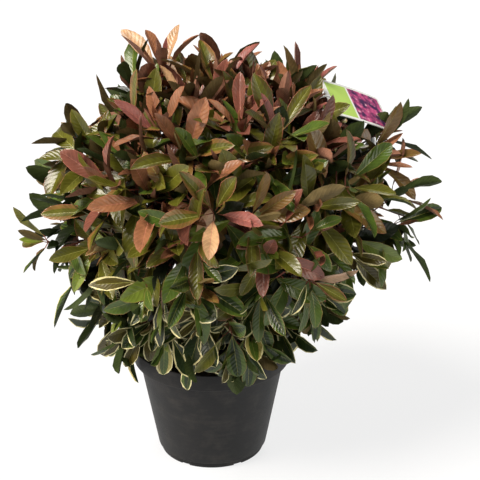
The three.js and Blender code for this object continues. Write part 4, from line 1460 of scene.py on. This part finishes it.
def build_twigs():
    """Brown twigs that grow on from the boughs, and redder shoots at their ends."""
    settings = bpy.context.scene.photinia_leaf
    wood = bpy.context.scene.photinia_wood
    paths, ends, young = zip(*grow_crown(settings)[1])
    share = np.linspace(0, 1, TWIG_STATIONS)
    radii = np.stack([mix(*pair, share) for pair in ends])
    radii = np.repeat(radii[:, :, None], TWIG_SIDES, axis=2)
    points, faces = tubes(np.stack(paths), radii)
    shown = [np.repeat(young, len(group) // len(young)) for group in faces]
    materials = [young_wood_material("Twig", wood.twig), young_wood_material("Shoot", wood.shoot)]
    piece = make_piece("twigs", points, faces, materials, np.concatenate(shown))
    return dress(piece, [name for name in CAD_NODES if name.startswith("foliage_")])


def build_leaves():
    """All leaves of the crown, in one piece for each slot."""
    scene = bpy.context.scene
    limbs, _, leaves = grow_crown(scene.photinia_leaf)
    leaves = fit_reach(leaves)
    kinds = deal_kinds(leaves)
    leaves["edged"] = np.isin(kinds, [i for i, kind in enumerate(KINDS) if kind.startswith("edged")])
    points, clear = fit_leaves(leaves, limbs)
    materials, table = leaf_materials()
    groups = leaf_faces()
    for slot, tiers in LEAF_PIECES.items():
        numbers = [i for i, tier in enumerate(TIERS) if tier["name"] in tiers]
        chosen = clear & np.isin(leaves["tier"], numbers)
        kind = kinds[chosen]
        faces = [copies(group, len(kind), points.shape[1]) for group, parts in groups]
        shown = np.concatenate([table[kind][:, parts].ravel() for group, parts in groups])
        made = points[chosen].reshape(-1, 3)
        piece = make_piece(slot, made, faces, materials, shown, sharp=72)
        map_places(piece, np.tile(leaf_places(), (len(kind), 1)))
        nodes = [name for name in CAD_NODES if name.startswith(tuple(f"foliage_{t}_" for t in tiers))]
        dress(piece, nodes)
    print(f"leaves: {clear.sum()} kept of {len(clear)}")


def build_label():
    """The label: a card that lies back on the leaves, and a strap from it to a loop round a bough."""
    label = bpy.context.scene.photinia_label
    limb = plan_limbs(plan_masses())[LABEL_BOUGH]
    card_points, card_faces, place = card_surface(label)
    hold, axis = along_row(limb["row"], LABEL_ALONG)
    right = label_axes()[0]
    strap = LABEL_STRAP / 2
    ring_radius = mix(*limb["radii"], LABEL_ALONG) + CLEAR + strap
    edge = LABEL_CENTRE + right * (mm(label.corner) - mm(label.width) / 2)
    outward = unit(across(edge - hold, axis))
    path = curve_points(hold + outward * ring_radius, outward, edge, right, 23)
    strap_points, strap_faces = tubes(path[None], np.full((1, 24, 10), strap))
    loop_points, loop_faces = torus(hold, axis, ring_radius, strap)
    strap_from = len(card_points)
    loop_from = strap_from + len(strap_points)
    quads = np.concatenate([card_faces, strap_faces[0] + strap_from, loop_faces + loop_from])
    faces = [quads, strap_faces[1] + strap_from]
    points = np.concatenate([card_points, strap_points, loop_points])
    piece = make_piece("label_card", points, faces, [label_material()], sharp=50)
    shares = np.zeros((len(points), 2))
    shares[: len(place)] = place
    map_places(piece, shares)
    return dress(piece, ["plant_label"])


def card_surface(label):
    """A card with round corners. At a height v its half width is w - c + sqrt(c^2 - d^2), where w is
    the card's half width and d is how far the row reaches into the corner of radius c. It bows
    forward by 2.5 (1 - (x/w)^2), and is set back by 1.2."""
    w, h, c = mm(label.width) / 2, mm(label.height) / 2, mm(label.corner)
    half = mm(label.thickness) / 2
    lift = np.linspace(0, 1, 7)
    v = np.concatenate([-h + c * (1 - np.cos(lift * np.pi / 2)), np.linspace(c - h, h - c, 20)[1:-1]])
    v = np.concatenate([v, h - c * (1 - np.cos(lift * np.pi / 2))[::-1]])
    deep = np.maximum(np.abs(v) - (h - c), 0)
    half_width = w - c + np.sqrt(np.maximum(c * c - deep * deep, 0)) + 1e-3
    u = np.linspace(-1, 1, 37)
    x = u[None] * half_width[:, None]
    y = np.repeat(v[:, None], len(u), axis=1)
    right, upward, facing = label_axes()
    ahead = CARD_BOW * (1 - (x / w) ** 2) - CARD_BACK + half
    front = LABEL_CENTRE + x[..., None] * right + y[..., None] * upward + ahead[..., None] * facing
    back = front - 2 * half * facing
    rows, columns = x.shape
    grid = np.arange(rows * columns).reshape(rows, columns)
    quads = grid_quads(grid)
    backs = quads[:, ::-1] + rows * columns
    loop = np.concatenate([grid[0, :-1], grid[:-1, -1], grid[-1, :0:-1], grid[:0:-1, 0]])
    after = np.roll(loop, -1)
    edges = np.stack([after, loop, loop + rows * columns, after + rows * columns], axis=-1)
    place = np.stack([(x / w + 1) / 2, (y / h + 1) / 2], axis=-1).reshape(-1, 2)
    points = np.concatenate([front.reshape(-1, 3), back.reshape(-1, 3)])
    return points, np.concatenate([quads, backs, edges]), np.concatenate([place, place * 0])


def torus(middle, axis, radius, tube, steps=32, sides=10):
    """A ring round an axis: at turn a and angle b, (radius + tube cos b) outward plus tube sin b up."""
    first, second = across_axis(axis)
    a = 2 * np.pi * np.arange(steps)[:, None, None] / steps
    b = 2 * np.pi * np.arange(sides)[None, :, None] / sides
    outward = first * np.cos(a) + second * np.sin(a)
    points = middle + outward * (radius + tube * np.cos(b)) + axis * tube * np.sin(b)
    grid = np.arange(steps * sides).reshape(steps, sides)
    on = np.roll(grid, -1, axis=0)
    faces = np.stack([grid, on, np.roll(on, -1, axis=1), np.roll(grid, -1, axis=1)], axis=-1)
    return points.reshape(-1, 3), faces.reshape(-1, 4)


def sun_lamp(name, stage, light, share, colour, turn):
    """A soft lamp far away, whose strength is a share of the stage's key or side light. The turn is
    its angle from overhead and its angle round the plant."""
    lamp = bpy.data.objects.new(name, bpy.data.lights.new(name, "SUN"))
    lamp.data.energy = share * getattr(stage, light)
    lamp.data.angle = stage.softness
    lamp.data.color = colour
    lamp.rotation_euler = (math.radians(turn[0]), 0, math.radians(turn[1]))
    bpy.context.scene.collection.objects.link(lamp)
    return lamp


def build_stage():
    """A pale floor that glows like a light table, a camera that looks down a little, a warm soft key
    light from the front left, low lights from both sides, one from behind, and an even sky."""
    stage = bpy.context.scene.photinia_stage
    scene = bpy.context.scene
    corners = FLOOR_REACH * np.array([[-1, -1, 0], [1, -1, 0], [1, 1, 0], [-1, 1, 0]]) - UP * FLOOR_BELOW
    glow = {"Emission Color": (1, 1, 1, 1), "Emission Strength": stage.glow}
    floor_finish = Finish("Floor", stage.floor, 0.9, **glow)
    floor = make_piece("floor", corners, [np.array([[0, 1, 2, 3]])], [floor_finish.material])
    aim = np.array([mm(stage.aim_across), 0, mm(stage.aim_height)])
    back = mm(stage.distance) * np.array([0, -math.cos(stage.elevation), math.sin(stage.elevation)])
    eye = bpy.data.objects.new("camera", bpy.data.cameras.new("camera"))
    eye.location = (aim + back) * MM
    eye.rotation_euler = (math.pi / 2 - stage.elevation, 0, 0)
    eye.data.lens = stage.lens
    eye.data.sensor_width = SENSOR_WIDTH
    key, left, right, behind = (sun_lamp(name, stage, **lamp) for name, lamp in LAMPS.items())
    scene.collection.objects.link(eye)
    scene.camera = eye
    world = bpy.data.worlds.new("sky")
    world.use_nodes = True
    backdrop = world.node_tree.nodes["Background"]
    backdrop.inputs["Color"].default_value = SKY_COLOUR
    backdrop.inputs["Strength"].default_value = stage.sky
    scene.world = world
    scene.view_settings.view_transform = "Standard"


class PhotiniaOperator:
    """What the operators have in common: each builds its piece and can be undone."""

    bl_options = {"REGISTER", "UNDO"}

    def execute(self, context):
        self.build()
        return {"FINISHED"}


class PHOTINIA_OT_stage(PhotiniaOperator, bpy.types.Operator):
    """Set up the floor, the camera and the light"""

    bl_idname = "photinia.stage"
    bl_label = "Stage"
    build = staticmethod(build_stage)


class PHOTINIA_OT_pot(PhotiniaOperator, bpy.types.Operator):
    """Build the grey nursery pot with its drain holes"""

    bl_idname = "photinia.pot"
    bl_label = "Pot"
    build = staticmethod(build_pot)


class PHOTINIA_OT_soil(PhotiniaOperator, bpy.types.Operator):
    """Fill the pot with crumbly dark soil"""

    bl_idname = "photinia.soil"
    bl_label = "Soil"
    build = staticmethod(build_soil)


class PHOTINIA_OT_wood(PhotiniaOperator, bpy.types.Operator):
    """Grow the trunk and the boughs with their bark"""

    bl_idname = "photinia.wood"
    bl_label = "Trunk and boughs"
    build = staticmethod(build_wood)


class PHOTINIA_OT_twigs(PhotiniaOperator, bpy.types.Operator):
    """Grow the twigs and shoots on from the boughs"""

    bl_idname = "photinia.twigs"
    bl_label = "Twigs"
    build = staticmethod(build_twigs)


class PHOTINIA_OT_leaves(PhotiniaOperator, bpy.types.Operator):
    """Put the red, bronze, green and cream edged leaves on the twigs"""

    bl_idname = "photinia.leaves"
    bl_label = "Leaves"
    build = staticmethod(build_leaves)


class PHOTINIA_OT_label(PhotiniaOperator, bpy.types.Operator):
    """Hang the plain plant label from its bough"""

    bl_idname = "photinia.label"
    bl_label = "Plant label"
    build = staticmethod(build_label)


SETTINGS = {
    "photinia_stage": PHOTINIA_PG_stage,
    "photinia_pot": PHOTINIA_PG_pot,
    "photinia_wood": PHOTINIA_PG_wood,
    "photinia_leaf": PHOTINIA_PG_leaf,
    "photinia_colour": PHOTINIA_PG_colour,
    "photinia_label": PHOTINIA_PG_label,
}
OPERATORS = [
    PHOTINIA_OT_stage,
    PHOTINIA_OT_pot,
    PHOTINIA_OT_soil,
    PHOTINIA_OT_wood,
    PHOTINIA_OT_twigs,
    PHOTINIA_OT_leaves,
    PHOTINIA_OT_label,
]


class PHOTINIA_PT_panel(bpy.types.Panel):
    """Lists the pieces of the plant and their settings"""

    bl_idname = "PHOTINIA_PT_panel"
    bl_label = "Potted Photinia"
    bl_space_type = "VIEW_3D"
    bl_region_type = "UI"
    bl_category = "Photinia"

    def draw(self, context):
        for operator in OPERATORS:
            self.layout.operator(operator.bl_idname)
        for name, group in SETTINGS.items():
            box = self.layout.box()
            box.label(text=name.split("_")[1].capitalize())
            for setting in group.__annotations__:
                box.prop(getattr(context.scene, name), setting)


def register():
    """Adds the settings, the operators and the panel to Blender."""
    for name, group in SETTINGS.items():
        bpy.utils.register_class(group)
        setattr(bpy.types.Scene, name, PointerProperty(type=group))
    for operator in (*OPERATORS, PHOTINIA_PT_panel):
        bpy.utils.register_class(operator)


def unregister():
    """Takes the panel, the operators and the settings out of Blender again."""
    for operator in (PHOTINIA_PT_panel, *reversed(OPERATORS)):
        bpy.utils.unregister_class(operator)
    for name, group in reversed(SETTINGS.items()):
        delattr(bpy.types.Scene, name)
        bpy.utils.unregister_class(group)


def main():
    """Builds the whole plant."""
    register()
    bpy.ops.photinia.stage()
    bpy.ops.photinia.pot()
    bpy.ops.photinia.soil()
    bpy.ops.photinia.wood()
    bpy.ops.photinia.twigs()
    bpy.ops.photinia.leaves()
    bpy.ops.photinia.label()
    bpy.context.view_layer.update()


if __name__ == "__main__":
    main()
